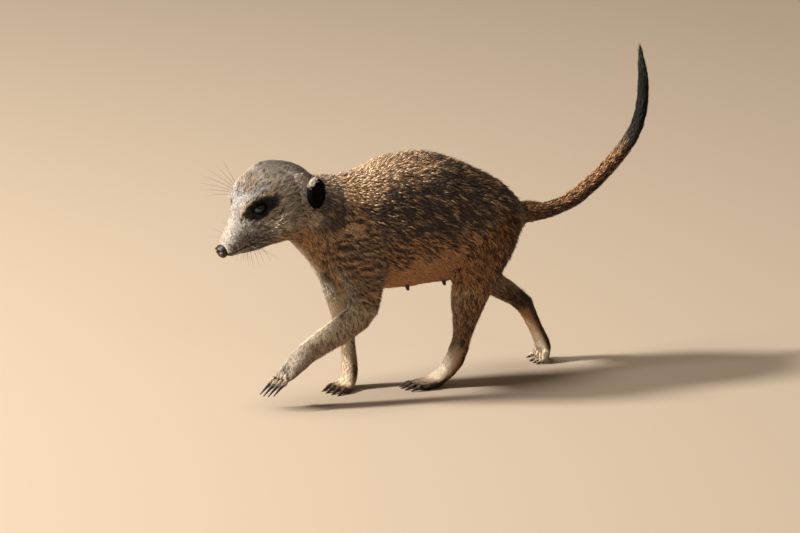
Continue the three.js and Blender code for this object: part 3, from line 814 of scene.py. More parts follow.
# Front faces are paler, partly their own cream and partly painted light; back faces are darker, partly
# their own colour and partly painted shade.
front_tone_and_light = ramp(0.7 * up_facing - 0.7 * back_facing, -0.25, 0.6)
inner_side = np.where(ON_LIMBS, ramp(-normals[:, 0] * np.where(on_left, 1, -1), 0.2, 0.9), 0)
limb_rear_and_shade = (upper_arm + thigh + forearm + shank) * ramp(back_facing, 0.1, 0.8)
# Painted shade low on the hind foot, near the floor.
foot_low_shade = hind_paw * (1 - ramp(z, 4, 9)) * (y < 40)
mark(upper_arm, warm=0.45, fleck=-0.45)
# Painted shade on the near upper arm and painted light on the far one.
mark(upper_arm * on_left, dark=0.4)
mark(upper_arm * ~on_left, pale=0.8)
mark(upper_arm * inner_side, pale=0.35, warm=0.3)
# A painted rim of light along the front of the upper arm.
mark(upper_arm * ramp(-back_facing, 0.45, 0.9) * ramp(-z, -104, -92), pale=0.5)
mark((upper_arm + forearm) * bump_at(half, (22, -83, 79), (8, 7, 8)), dark=0.7)  # elbow
mark(forearm, pale=0.42, dark=0.4, warm=0.55)
mark(forearm * front_tone_and_light, pale=0.5, dark=-0.4)
mark(forearm * inner_side, pale=0.5, fleck=-0.7)
mark(forearm * limb_rear_and_shade, dark=0.4)
mark(limb_rear_and_shade, dark=0.25)
mark(fore_paw, pale=0.2, dark=0.24, warm=0.35, fleck=-0.2)
mark(fore_paw * front_tone_and_light, pale=0.25, dark=-0.24)
mark(fore_paw * inner_side, pale=0.3)
mark(thigh, dark=0.6, warm=0.7, fleck=-0.55)
mark(thigh * inner_side, dark=0.65, warm=0.3)
mark((thigh + shank) * limb_rear_and_shade, warm=0.6)
mark(shank, dark=0.51, warm=0.6)
mark(shank * front_tone_and_light, pale=0.3, fleck=-0.45)
mark(shank * inner_side, pale=0.3, dark=0.25, warm=0.6)
mark(hind_paw, warm=0.55, fleck=-0.6)
mark(hind_paw * (0.25 + 0.6 * front_tone_and_light + 0.25 * inner_side) * (1 - 0.9 * foot_low_shade), pale=1)
# The back of the hind foot is darker, partly its own colour and partly painted shade.
mark(hind_paw * ramp(back_facing, 0.0, 0.6), dark=0.9)
mark(foot_low_shade, dark=0.8)
print("inner sides:", (inner_side > 0.5).sum(), "points")

# %% [markdown]
# The sole of each foot is bare black leather. The table gives the way that each sole faces: away from
# the shin for the feet that reach out, and towards the floor for the others. A groove between two toes
# lies where the lines of two claws are equally near.

# %% Soles and toes
TOE_GROOVE = 0.9
SOLES = {
    # foot: the way that the sole faces, and where along the foot it starts and is complete, in mm
    "fore_paw_left": ([-0.1, 0.67, -0.74], 6, 14),
    "fore_paw_right": ([0, 0.1, -1], 6, 14),
    "hind_paw_left": ([0, 0.15, -1], 14, 26),
    "hind_paw_right": ([0, 0.75, -0.66], 14, 26),
}


def long_axis(points):
    middle = points.mean(0)
    return middle, np.linalg.svd(points - middle)[2][0]


def off_line(points, middle, axis):
    off = points - middle
    return np.linalg.norm(off - np.outer(off @ axis, axis), axis=1)


sole, toe_tip, between_toes = (np.zeros(len(half)) for _ in range(3))
for name, (sole_way, start, end) in SOLES.items():
    here = lies_on(name)
    points, along_foot = skin.points[here], run[here] - run[here].min()
    sole[here] = ramp(normals[here] @ unit(sole_way), 0.35, 0.75) * ramp(along_foot, start, end)
    horns = claws_of(name.split("_")[0], name.split("_")[2])
    claws = tree_of(np.vstack(horns))
    gaps = np.array([claws.find(p)[2] for p in points.tolist()])
    toe_tip[here] = 1 - ramp(gaps, 0.8, 4.5)
    away = np.sort([off_line(points, *long_axis(horn)) for horn in horns], axis=0)
    between_toes[here] = line_bump(away[1] - away[0], 0.9) * (1 - ramp(gaps, 5, 9))
sole = skin.blur(sole, 2)
skin.points -= normals * (TOE_GROOVE * between_toes)[:, None]
print("soles:", (sole > 0.5).sum(), "points; grooves:", (between_toes > 0.5).sum())

# %% [markdown]
# Each foot of the stride is turned another way to the light, so each gets painted light and shade of its
# own. The left fore foot keeps pale toes as lit, the shin of the right one has painted light in front and
# painted shade behind, and the right hind foot has painted shade on its back and upper faces.

# %% Markings that differ from foot to foot
fore_left, hind_left = fore_paw * on_left, hind_paw * on_left
right_shin = (forearm + fore_paw * ramp(z, 5, 12)) * ~on_left
# Painted light and shade on the right shin: lit in front, shaded behind.
shin_shade = ramp(back_facing, -0.3, 0.1)
painted_lit_shin = right_shin * (1 - shin_shade)
far_foot = (hind_paw + shank * (1 - ramp(z, 48, 58))) * ~on_left
foot_shade = ramp(back_facing + 0.4 * up_facing, -0.45, 0.2)
far_front = far_foot * (1 - foot_shade)
mark(between_toes, dark=0.8)
mark(fore_left, pale=0.3, dark=0.25, warm=-0.15, fleck=0.3)
mark(fore_left * toe_tip, pale=-0.3, dark=0.2)
mark(painted_lit_shin, pale=0.9, dark=-0.8, warm=0.3)
mark(right_shin * shin_shade, pale=-0.5, dark=0.7)
mark(hind_left * front_tone_and_light, pale=0.2)
# Painted shade on the heel of the left hind foot.
mark(hind_left * ramp(back_facing, -0.3, 0.2), pale=-0.4, dark=0.45, warm=0.3)  # heel
# Painted shade on the back and upper faces of the right hind foot.
mark(far_foot * foot_shade * ramp(z, 8, 14), pale=-0.7, dark=0.85)
mark(far_front * ramp(z, 14, 36), pale=-0.5)
mark(far_front * ramp(z, 10, 30), warm=1.0)
print("bright shin:", (painted_lit_shin > 0.5).sum(), "points")

# %% [markdown]
# Now the notes are added up. Black isn't a share of the other colours but covers them: the eye patches,
# the lips, the tip of the tail, the soles and most toes are black whatever else would lie there.

# %% Add the markings up
total = sum(np.outer(mask, shares) for mask, shares in marks)
pale, dark, warm, fleck = np.clip(total + (0, 0, 0, 1), (0, -0.5, 0, 0.1), (1, 1, 1, 1.6)).T
# The toes of the right fore and left hind feet are black, partly their own colour and partly painted
# shade; those of the left fore and right hind feet stay pale as painted light, and the low part of the
# left hind foot gets more painted shade.
toe_black = toe_tip * (0.75 * (fore_paw - fore_left) + 0.7 * hind_left) + 0.45 * foot_low_shade * hind_left
black = np.clip(eye_patch + 0.8 * lip_line + tail_black + toe_black + sole, 0, 1)
pale, dark, warm = pale * (1 - black), dark * (1 - 0.35 * pale), warm * (1 - black)
MASKS = {"pale": pale, "dark": dark, "warm": warm, "black": black}
tell(len(marks), "markings added up")

# %% [markdown]
# The lie of the coat starts as the way of each line and is then bent: the flank hair droops, the cheek
# hair sweeps down and back, and the short hair round the eye turns away from it. Blurring the arrows
# over the surface lets the streams run into each other without a parting.

# %% The lie of the coat
droop = np.outer(side_facing * (trunk + neck), (0, 0, -0.55)) + np.outer(rump, (0, 0.09, -0.18))
from_eye_ways = unit(np.stack([from_eye[:, 0] * sides, from_eye[:, 1], from_eye[:, 2]], 1))
round_eye = head * bump_at(half, HALF_EYE, 9.5)
keep_way = 1 - 0.75 * (upper_arm + forearm) - 0.5 * thigh - 0.3 * shank
across_limb = np.outer(upper_arm, (0, 0.9, -0.3)) + np.outer(forearm, (0, 0.35, -0.9))
across_limb += np.outer(thigh + 0.6 * shank, (0, 0.45, -0.45))
lie = way * keep_way[:, None] + across_limb + droop + 1.2 * round_eye[:, None] * from_eye_ways
for _ in range(3):
    lie = in_plane(skin.blur(unit(lie), 9), normals)
lie_noise = drift(skin.points, 14, 5) * (1 - 0.6 * head)
lie = unit(lie + 0.22 * lie_noise[:, None] * np.cross(normals, lie))
tell("lie of the coat done")

# %% [markdown]
# The masks for colour are joined by masks for the hair itself. Length, width and depth come from the
# table. The hair is shorter on the muzzle and round the eyes, and longer on the cheeks, at the ears and
# on the toes. The eye slits, the nose, the mouth and the soles stay bare.

# %% Length, width and thickness of the hair at each point
coat_depth, coat_length, coat_width, coat_number = coat_measures()[:, :4].T.copy()
muzzle, cheek = muzzle_and_cheek(head)
near_eye = head * bump_at(half, HALF_EYE, 8.5)
coat_depth *= (1 - 0.6 * muzzle) * (1 + 0.35 * cheek) * (1 - 0.65 * belly) * (1 - 0.45 * painted_lit_shin)
coat_length *= (1 - 0.55 * muzzle) * (1 + 0.45 * cheek) * (1 - 0.2 * belly) * (1 - 0.55 * near_eye)
coat_length *= (1 + 1.3 * toe_tip * fore_paw) * (1 + 0.5 * toe_tip * hind_paw)
coat_length *= 1 + 0.5 * ear_tuft + 0.5 * before_ear + 0.3 * behind_ear
coat_width *= (1 - 0.35 * muzzle) * (1 - 0.25 * belly)
coat_number *= (1 + 0.9 * muzzle) * (1 - 0.25 * belly)
nose_middle = box_middle(nose_points)
hair_here = 1 - np.maximum.reduce([
    (1 - ramp(in_slit(from_eye), 1.0, 1.12)) * (patch_out > 0) * (head > 0.5),
    1 - ramp(np.linalg.norm(skin.points - nose_middle, axis=1), 5.2, 5.8),
    (np.abs(mouth_gap) < 0.5) * mouth_run * (head > 0.5),
    ramp(sole, 0.3, 0.6),
])
print("tufts asked for:", (coat_number * hair_here).mean().round(2), "per square mm on average")

# %% [markdown]
# A tuft is a few hairs that cling together. Its root may stand anywhere on a triangle, so roots are
# strewn by area and by how thickly the hair stands there. Every measure of the coat is then read at the
# root from the three corners of its triangle, weighted by how near each corner is.

# %% Roots
HAIR_SEED = 11
random = np.random.default_rng(HAIR_SEED)


class Roots:
    """Places on a surface, evenly strewn where `wanted` is high."""

    def __init__(self, surface, wanted, amount=None):
        weight = np.linalg.norm(surface.across(), axis=1) / 2 * wanted[surface.triangles].mean(1)
        self.count = amount or int(weight.sum())
        heap = np.cumsum(weight)
        steps = (np.arange(self.count) + random.random(self.count)) / self.count * heap[-1]
        chosen = np.minimum(np.searchsorted(heap, steps), len(weight) - 1)
        self.shares = random.dirichlet((1, 1, 1), self.count)
        self.corners = surface.triangles[chosen]

    def read(self, values):
        """Values or arrows that are known at the surface's points, at each root."""
        shares = self.shares if values.ndim == 1 else self.shares[:, :, None]
        return (values[self.corners] * shares).sum(1)

    def on(self, points, normals):
        """The roots' places and normals."""
        return self.read(points), unit(self.read(normals))


# %% [markdown]
# A tuft is modelled as a thin three-sided spike: it leaves the skin at a slant, bends over and ends in a
# point, so that its tip reaches the coat's depth. Particle hair would be quicker to make, but it isn't
# mesh and can't be exported. Long hair is given a bend half way; short hair does without.

# %% Grow one batch of spikes
PROFILE = np.array([[-1.0, 0.0], [1.0, 0.0], [0.0, 0.8]])  # of a spike: across and rising
# For a spike of one length and of two: each point's share along, its place across and the triangles.
SHORT_TUFT = ([0, 0, 0, 1], [0, 1, 0.5, 0.5], [(0, 2, 1), (0, 1, 3), (1, 2, 3), (2, 0, 3)])
LONG_TUFT = (
    [0, 0, 0, 0.5, 0.5, 0.5, 1],
    [0, 1, 0.5, 0, 1, 0.5, 0.5],
    [(0, 2, 1), (0, 1, 4), (0, 4, 3), (1, 2, 5), (1, 5, 4), (2, 0, 3), (2, 3, 5)]
    + [(3, 4, 6), (4, 5, 6), (5, 3, 6)],
)
ROOT_SUNK, FLOOR_GAP = 0.25, 0.02


def leaning(lie, normal, rise):
    return lie * np.sqrt(1 - rise**2)[:, None] + normal * rise[:, None]


def grow_tufts(form, root, normal, lie, length, width, depth, spread=0.16):
    """Points and triangles of a batch of spikes."""
    count = len(root)
    lie = in_plane(lie, normal)
    turn = random.normal(0, spread, count)[:, None]
    lie = unit(lie + turn * unit(np.cross(normal, lie)))
    across = unit(np.cross(normal, lie))
    length = length * random.uniform(0.7, 1.2, count)
    size = (width * random.uniform(0.65, 1.3, count) / 2)[:, None]
    standing = random.uniform(0.4, 1.1, count) + 0.45 * (random.random(count) < 0.12)
    reach = np.clip(depth * standing / length, 0.02, 0.62)
    curl = random.normal(0, 0.12, count)[:, None]
    first_way = leaning(lie, normal, np.clip(1.45 * reach, 0, 0.9))
    second_way = unit(leaning(lie, normal, np.clip(0.5 * reach, 0, 0.9)) + curl * across)
    start = root - normal * ROOT_SUNK
    middle = start + first_way * (length / 2)[:, None]
    tip = middle + second_way * (length / 2)[:, None]
    raised = unit(np.cross(first_way, across))
    raised *= np.sign((raised * normal).sum(1))[:, None]
    stops = ((start, 0.8), (middle, 1.0)) if form is LONG_TUFT else ((start, 1.0),)
    rings = [
        place + size * share * (side * across + rise * raised)
        for place, share in stops
        for side, rise in PROFILE
    ]
    points = np.stack([*rings, tip], 1)
    faces = np.arange(count)[:, None, None] * points.shape[1] + np.array(form[2])
    points[:, :, 2] = np.maximum(points[:, :, 2], FLOOR_GAP)
    return points.reshape(-1, 3), faces.reshape(-1, 3)


# %% [markdown]
# Batches of spikes are put together into one mesh with the values that its shader reads. The map for
# baking gives each tuft a small patch at its root's place on the unwrapped skin, with the run along the
# body one way and the turn round it the other.

# %% Batches into a piece
PATCH = 0.003  # of the map's width
CHART_MARGIN = 0.99


def batch(form, grown, chart, strand, tones):
    """A grown batch with its place in the map and its shader values at each point."""
    count, (share_along, share_across, _) = len(chart), form
    owner = np.repeat(np.arange(count), len(share_along))
    strand = random.uniform(*strand, count) if isinstance(strand, tuple) else strand
    values = {"along": np.tile(share_along, count), "strand": strand[owner]}
    for key, tone in tones.items():
        values[key] = np.broadcast_to(tone, count)[owner]
    in_patch = np.stack([np.tile(share_across, count), values["along"]], 1)
    return *grown, chart[owner] * (1 - PATCH) + in_patch * PATCH, values


def tuft_piece(name, material, batches):
    points, faces, charts, values = zip(*batches)
    starts = np.cumsum([0, *(len(p) for p in points)])
    joined = {key: np.concatenate([v[key] for v in values]) for key in values[0]}
    faces = np.vstack([f + start for f, start in zip(faces, starts)])
    make_piece(name, np.vstack(points), faces, material, joined, np.vstack(charts))
    tell(name, len(faces), "triangles")


def chart_of(points, name):
    """Run along the limb's line and turn round it, each from 0 to 1."""
    run, spot, way = along_line(points, LINES[line_of(name)])
    level = unit(np.cross(way, (0, 0.3, 1)))
    upright = np.cross(level, way)
    off = points - spot
    turn = np.arctan2((off * level).sum(1), (off * upright).sum(1)) / (2 * np.pi) + 0.5
    low, high = run.min(), run.max()
    return np.stack([(run - low) / (high - low + 0.01), turn], 1) * CHART_MARGIN


# %% [markdown]
# One shader node group gives the colour of skin and hair alike from the masks. A meerkat's hairs are
# banded: a dusky root, a buff middle, a darker band and a pale tip, so the group also takes the share
# of the way along the hair, and a number that differs from tuft to tuft for the grizzle.

# %% The coat's colour group
BUFF, TAN = (0.52, 0.335, 0.17), (0.56, 0.255, 0.085)
CREAM, SILVER = (0.80, 0.66, 0.455), (0.50, 0.485, 0.465)
BROWN, BLACK = (0.042, 0.020, 0.012), (0.005, 0.004, 0.0035)
BANDS = [(0.0, 0.12), (0.28, 0.30), (0.55, 0.95), (0.70, 0.72), (0.84, 1.25), (1.0, 1.4)]
BRIGHTEST = 1.4
MASK_SOCKETS = ("Pale", "Dark", "Warm", "Black")

graph, ins, out = new_group(
    "coat colour", dict.fromkeys((*MASK_SOCKETS, "Along", "Strand"), "Float"), {"Color": "Color"}
)
speck = graph.maths("SUBTRACT", ins["Strand"], 0.5)
darkness = graph.maths("MULTIPLY", ins["Dark"], 1.3)
dark_share = graph.maths("MULTIPLY_ADD", speck, -3.0, darkness, clamp=True)
evenness = graph.maths("MULTIPLY_ADD", speck, 1.1, 0.75)
pale_share = graph.maths("MULTIPLY", ins["Pale"], evenness, clamp=True)
ground = graph.blend(dark_share, graph.blend(ins["Warm"], rgba(BUFF), rgba(TAN)), rgba(BROWN))
ground = graph.blend(pale_share, ground, graph.blend(ins["Warm"], rgba(SILVER), rgba(CREAM)))
bands = graph.colour_ramp(ins["Along"], [(place, (value / BRIGHTEST,) * 3) for place, value in BANDS])
banded = graph.blend(1.0, ground, bands, "MULTIPLY")
grizzle = graph.maths("MULTIPLY_ADD", speck, 0.7, BRIGHTEST)
bright = graph.node("ShaderNodeVectorMath", {"operation": "SCALE"}, Vector=banded, Scale=grizzle)
black_share = graph.maths("MULTIPLY", ins["Black"], 1.0, clamp=True)
graph.feed(out, Color=graph.blend(black_share, bright.outputs[0], rgba(BLACK)))
coat_colour = graph.tree
print("group:", coat_colour.name, len(coat_colour.nodes), "nodes")

# %% [markdown]
# Where the coat parts, the skin under it shows as short woolly underfur combed the same way. A second
# group makes that relief: noise stretched along the lie of the coat, turned into a normal by a bump.
# The hide and the guard hair read the same masks, so one helper gives both their colour.

# %% Underfur relief and the two coat materials
graph, ins, out = new_group(
    "underfur relief", {"Strength": "Float", "Distance": "Float"}, {"Normal": "Vector"}
)
streak = graph.attribute("streak", "Vector")
strands = graph.node("ShaderNodeTexNoise", Vector=streak, Scale=1.6, Detail=3.0, Roughness=0.6)
bump = graph.node(
    "ShaderNodeBump", Height=strands.outputs["Fac"], Strength=ins["Strength"], Distance=ins["Distance"]
)
graph.feed(out, Normal=bump.outputs["Normal"])
underfur = graph.tree


def hair_colour(graph, strand):
    masks = {name: graph.attribute(name.lower()) for name in (*MASK_SOCKETS, "Along")}
    return graph.group(coat_colour, Strand=strand, **masks)["Color"]


hide_material, graph, shader = new_material(
    "hide under the coat", Roughness=0.8, Specular_IOR_Level=0.25
)
streak = graph.attribute("streak", "Vector")
undertone = graph.node("ShaderNodeTexNoise", Vector=streak, Scale=2.2, Detail=2.0)
relief = graph.group(underfur, Strength=0.8, Distance=0.0004)["Normal"]
graph.feed(shader, Base_Color=hair_colour(graph, undertone.outputs["Fac"]), Normal=relief)

coat_material, graph, shader = new_material(
    "guard hair", Roughness=0.58, Specular_IOR_Level=0.22, Sheen_Weight=0.08, Sheen_Roughness=0.4
)
graph.feed(shader, Base_Color=hair_colour(graph, graph.attribute("strand")))
print("materials:", hide_material.name, "and", coat_material.name)

# %% [markdown]
# The hide is one mesh from nose to tail tip, with no seam at the joints, so nothing opens up when the
# model is turned. It stands for all the flesh solids.

# %% The hide
streak_place = skin.points - spot
streak_place = streak_place - (streak_place * way).sum(1, keepdims=True) * way
streak_place += way * (0.28 * run[:, None])
hide_values = {**MASKS, "streak": streak_place, "along": 0.62 - 0.42 * ramp(coat_depth, 0.8, 2.6)}
hide = make_piece("hide", skin.points, skin.triangles, hide_material, hide_values)
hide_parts(*FLESH)
print("hide:", len(skin.triangles), "triangles")

# %% [markdown]
# The coat is made region by region so that no mesh grows too heavy. The table says what each region
# covers, how far apart its locks stand and how strongly a tuft is drawn to its lock.

# %% The coat's regions
FACE_SPLIT = -132
WHOLE = (-999, 999)
REGIONS = {
    # piece: nodes, lowest and highest y, slot, lock spacing mm, pull of the locks
    "coat_face": (HEAD_NODES, (-999, FACE_SPLIT), "coat_grizzled", 0.95, 0.4),
    "coat_crown": (("head", "lower_jaw"), (FACE_SPLIT, 999), "coat_grizzled", 1.15, 0.4),
    "coat_neck": (("neck",), WHOLE, "coat_grizzled", 1.3, 0.5),
    "coat_shoulder": (("trunk",), (-999, -50), "coat_grizzled", 1.35, 0.45),
    "coat_saddle": (("trunk",), (-50, -18), "coat_grizzled", 1.7, 0.5),
    "coat_loin": (("trunk",), (-18, 16), "coat_grizzled", 1.7, 0.5),
    "coat_rump": (("trunk",), (16, 999), "coat_grizzled", 1.45, 0.45),
    "coat_tail": (("tail_base", "tail_middle", "tail_tip"), WHOLE, "coat_buff", 1.0, 0.35),
}
LIMBS = {
    "arm": (("upper_arm", "forearm", "fore_paw"), "coat_cream", 1.3, 0.45),
    "leg": (("thigh", "shank", "hind_paw"), "coat_buff", 1.1, 0.35),
}
for limb, (parts, *finish) in LIMBS.items():
    for side in ("left", "right"):
        REGIONS[f"coat_{limb}_{side}"] = ([f"{part}_{side}" for part in parts], WHOLE, *finish)
print("regions:", *REGIONS)

# %% [markdown]
# Tufts near each other lean together into locks. A scatter of lock centres is laid over the region, and
# each tuft's tip is drawn some of the way towards the tip of its lock. Space is squeezed along the flow
# of the coat while each tuft looks for its centre, which makes the locks longer than wide.

# %% Locks and the tone of each tuft
LOCK_SQUEEZE = 0.68  # makes each lock about three times as long as wide
LOCK_SPREAD, LOCK_REACH, FEWEST_LOCKS = 0.10, 1.15, 8


def nearest(points, targets):
    tree = tree_of(targets)
    return np.array([tree.find(p)[1] for p in points.tolist()])


def into_locks(roots, root, comb, length, spacing, pull):
    """The combs drawn into locks, each tuft's lock and the tuft that stands at each lock's centre."""
    area = roots.count / np.mean(roots.read(coat_number))
    centre = random.permutation(roots.count)[: max(FEWEST_LOCKS, int(area / spacing**2))]
    flow = unit(comb.mean(0) * (0, 1, 1))
    squeezed = root - LOCK_SQUEEZE * np.outer(root @ flow, flow)
    own = nearest(squeezed, squeezed[centre])
    lock_comb = comb + random.normal(0, LOCK_SPREAD, (len(centre), 3))[own]
    target = root[centre][own] + lock_comb * length[:, None] * LOCK_REACH
    return (1 - pull) * comb * length[:, None] + pull * (target - root), own, centre


def strand_tones(roots, own, centre):
    """How light each tuft is, from 0 to 1: by row, by lock and by chance, strongest where flecked."""
    is_dark = random.random(len(centre)) < 0.26 + 0.42 * roots.read(dark)[centre]
    lock_tone = random.normal(0, 0.1, len(centre)) - 0.5 * is_dark
    # Painted light makes the tufts of the lit shin lighter.
    row_tone = roots.read(0.3 * rows + 0.3 * painted_lit_shin - 0.17 * in_rows)
    fleck_here = roots.read(fleck)
    spread = np.sqrt(fleck_here) * (0.14 + 0.12 * roots.read(head))
    chance = spread * random.normal(0, 1, roots.count)
    return np.clip(0.72 + row_tone + fleck_here * lock_tone[own] + chance, 0, 1)


# %% [markdown]
# Each region is strewn with roots, sparser if it would grow too heavy. Its tufts are combed into locks,
# toned and grown in two batches, the long ones with a bend and the short ones without.

# %% Grow the coat
MOST_TRIANGLES, SAFETY = 198000, 0.99
SHORT_HAIR = 4.8  # tufts below this length are made in one length
triangle_label = label[skin.triangles[:, 0]]
triangle_y = skin.points[skin.triangles].mean(1)[:, 1]
total_tufts = 0


def strew_region(name, nodes, low, high):
    """Roots on some nodes between two values of y, few enough for one piece."""
    chosen = np.isin(triangle_label, [LABELS[n] for n in nodes])
    chosen &= (triangle_y >= low) & (triangle_y < high)
    region = Surface(skin.points, skin.triangles[chosen], skin.edges)
    roots = Roots(region, coat_number * hair_here)
    is_long = roots.read(coat_length) > SHORT_HAIR
    weight = len(LONG_TUFT[2]) * is_long.sum() + len(SHORT_TUFT[2]) * (~is_long).sum()
    if weight > MOST_TRIANGLES:
        fewer = int(roots.count * MOST_TRIANGLES / weight * SAFETY)
        print("  ", name, "asks for", roots.count, "tufts and gets", fewer)
        roots = Roots(region, coat_number * hair_here, fewer)
    return roots


for name, (nodes, (low, high), slot, spacing, pull) in REGIONS.items():
    roots = strew_region(name, nodes, low, high)
    root, normal = roots.on(skin.points, normals)
    length, width, depth = (roots.read(v) for v in (coat_length, coat_width, coat_depth))
    comb = in_plane(roots.read(lie), normal)
    comb, own, centre = into_locks(roots, root, comb, length, spacing, pull)
    strand, chart = strand_tones(roots, own, centre), chart_of(root, nodes[0])
    tones = {key: roots.read(mask) for key, mask in MASKS.items()}
    batches = []
    for form, here in ((LONG_TUFT, length > SHORT_HAIR), (SHORT_TUFT, length <= SHORT_HAIR)):
        if here.any():
            grown = grow_tufts(form, *(v[here] for v in (root, normal, comb, length, width, depth)))
            here_tones = {key: tone[here] for key, tone in tones.items()}
            batches.append(batch(form, grown, chart[here], strand[here], here_tones))
    tuft_piece(name, coat_material, batches)
    total_tufts += roots.count
print("tufts in all:", total_tufts)

# %% [markdown]
# Eyeballs, lids, claws, teats and whiskers are all turned forms: rings of points round a line, joined by
# triangles. Three helpers make the ring, the triangles between rings and the fan that closes an end.

# %% Rings
def oval(side, up, around):
    """A ring round the origin through the tips of two arrows."""
    turn = np.arange(around) * 2 * math.pi / around
    return np.outer(np.cos(turn), side) + np.outer(np.sin(turn), up)


def ring_faces(rings, around, start=0, flip=False):
    """Triangles between neighbouring rings; flip turns them inside out."""
    ring, place = np.divmod(np.arange((rings - 1) * around), around)
    here, beside = start + ring * around + place, start + ring * around + (place + 1) % around
    faces = np.stack([here, beside + around, beside, here, here + around, beside + around], 1)
    faces = faces.reshape(-1, 3)
    return faces[:, ::-1] if flip else faces


def fan_faces(point, ring_start, around, flip=False):
    """Triangles from one point to each side of a ring."""
    place = np.arange(around)
    faces = np.stack([np.full(around, point), ring_start + place, ring_start + (place + 1) % around], 1)
    return faces[:, [0, 2, 1]] if flip else faces


print("a ring of 48 points joins the next in", len(ring_faces(2, 48)), "triangles")

# %% [markdown]
# The eyeball is a sphere with a slightly steeper cornea. Almost all that shows between the lids is the
# dark iris. It is smooth, and its reflections carry a painted blue tint that stands in for the sky.

# %% Eyes
CORNEA_RISE = 0.35
IRIS = [
    # share of the way from the pupil's middle to the back of the ball, colour
    (0.0, (0.002, 0.002, 0.003)), (0.115, (0.004, 0.003, 0.003)), (0.145, (0.012, 0.006, 0.004)),
    (0.24, (0.007, 0.004, 0.003)), (0.28, (0.006, 0.004, 0.004)), (1.0, (0.03, 0.02, 0.018)),
]


def ball(centre, radius, pole, around, down):
    """A sphere whose first point is at the pole; also each point's share of the way from it."""
    side = unit(np.cross(pole, (0, 0, 1.0)))
    ring = oval(side, np.cross(side, pole), around)
    tilts = math.pi * np.arange(1, down) / down
    rows = [math.cos(tilt) * pole + math.sin(tilt) * ring for tilt in tilts]
    points = centre + radius * np.vstack([pole, *rows, -pole])
    last = len(points) - 1
    faces = np.vstack([
        fan_faces(0, 1, around, flip=True),
        ring_faces(down - 1, around, 1, flip=True),
        fan_faces(last, last - around, around),
    ])
    return points, faces, np.repeat(np.arange(down + 1) / down, [1, *[around] * (down - 1), 1])


# The blue specular tint is a painted reflection of the sky.
eye_material, graph, shader = new_material(
    "moist eye", Roughness=0.12, Specular_IOR_Level=0.7, Specular_Tint=(0.45, 0.68, 1.0, 1.0),
    Coat_Weight=0.15, Coat_Roughness=0.06,
)
iris = graph.colour_ramp(graph.attribute("from_pupil"), IRIS)
fibres = graph.node("ShaderNodeTexNoise", Scale=2600.0, Detail=2.0).outputs["Color"]
graph.feed(shader, Base_Color=graph.blend(0.35, iris, fibres, "MULTIPLY"))

for side, centre, out_x in (("left", eye_left, 1), ("right", eye_right, -1)):
    points, faces, share = ball(centre, EYE_RADIUS, EYE_OUT * (out_x, 1, 1), around=48, down=40)
    cornea = CORNEA_RISE * (1 - ramp(share, 0.04, 0.2))
    points += unit(points - centre) * cornea[:, None]
    piece = make_piece(f"eyeball_{side}", points, faces, eye_material, {"from_pupil": share})
    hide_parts(f"eye_{side}")
print("eyes:", EYE_RADIUS * 2, "mm across")

# %% [markdown]
# Lids, nose and teats are bare skin: dark, finely pebbled and a little moist. One group makes the
# pebbles from the rounded cells of a Voronoi texture. Their height also darkens the valleys between.

# %% Bare skin
graph, ins, out = new_group(
    "skin pebble", {"Scale": "Float", "Distance": "Float"}, {"Normal": "Vector", "Height": "Float"}
)
cells = graph.node(
    "ShaderNodeTexVoronoi", {"feature": "SMOOTH_F1"}, Vector=graph.object_place(), Scale=ins["Scale"]
)
height = cells.outputs["Distance"]
relief = graph.node(
    "ShaderNodeBump", {"invert": True}, Height=height, Strength=0.7, Distance=ins["Distance"]
)
graph.feed(out, Normal=relief.outputs["Normal"], Height=height)
pebble = graph.tree


def bare_skin(name, colour, valley, scale, **sockets):
    material, graph, shader = new_material(name, Coat_Roughness=0.25, **sockets)
    grain = graph.group(pebble, Scale=scale, Distance=0.00012)
    tone = graph.blend(grain["Height"], rgba(colour), rgba(valley))
    graph.feed(shader, Base_Color=tone, Normal=grain["Normal"])
    return material


lid_material = bare_skin(
    "eyelid skin", (0.004, 0.003, 0.003), (0.002, 0.0018, 0.0016), 3200,
    Roughness=0.7, Coat_Weight=0.0, Specular_IOR_Level=0.06,
)
nose_material = bare_skin(
    "moist nose leather", (0.015, 0.0065, 0.0055), (0.005, 0.003, 0.003), 2300,
    Roughness=0.5, Coat_Weight=0.15, Specular_IOR_Level=0.35,
)
teat_material = bare_skin(
    "teat skin", (0.030, 0.017, 0.013), (0.010, 0.006, 0.005), 2600,
    Roughness=0.55, Coat_Weight=0.05, Specular_IOR_Level=0.5,
)
print("group:", pebble.name, "in 3 materials")

# %% [markdown]
# The lids are a black, slightly moist rim. Rings run round the slit: the innermost lies on the eyeball,
# the next make the rounded edge, and the outer ones sink under the fur, which closes the socket.

# %% Eyelids
LID_AROUND = 64
LID_GAP = 0.15  # between eyeball and lid
LID_RINGS = [
    # size of the ring in slits, lift off the ball or the skin in mm
    (0.84, 0.1), (0.92, 0.4), (1.0, 0.5), (1.12, 0.35),
    (1.3, -0.1), (1.6, -0.4), (1.9, -0.9), (2.2, -1.5),
]
CAST_FROM, CAST_FAR = 25, 60
shell_tree = BVHTree.FromPolygons(skin.points.tolist(), skin.triangles.tolist())


def towards_skin(place, way):
    """Where a line from outside along -way meets the skin."""
    hit = shell_tree.ray_cast(Vector(place + way * CAST_FROM), Vector(-way), CAST_FAR)[0]
    return np.array(hit) if hit else place


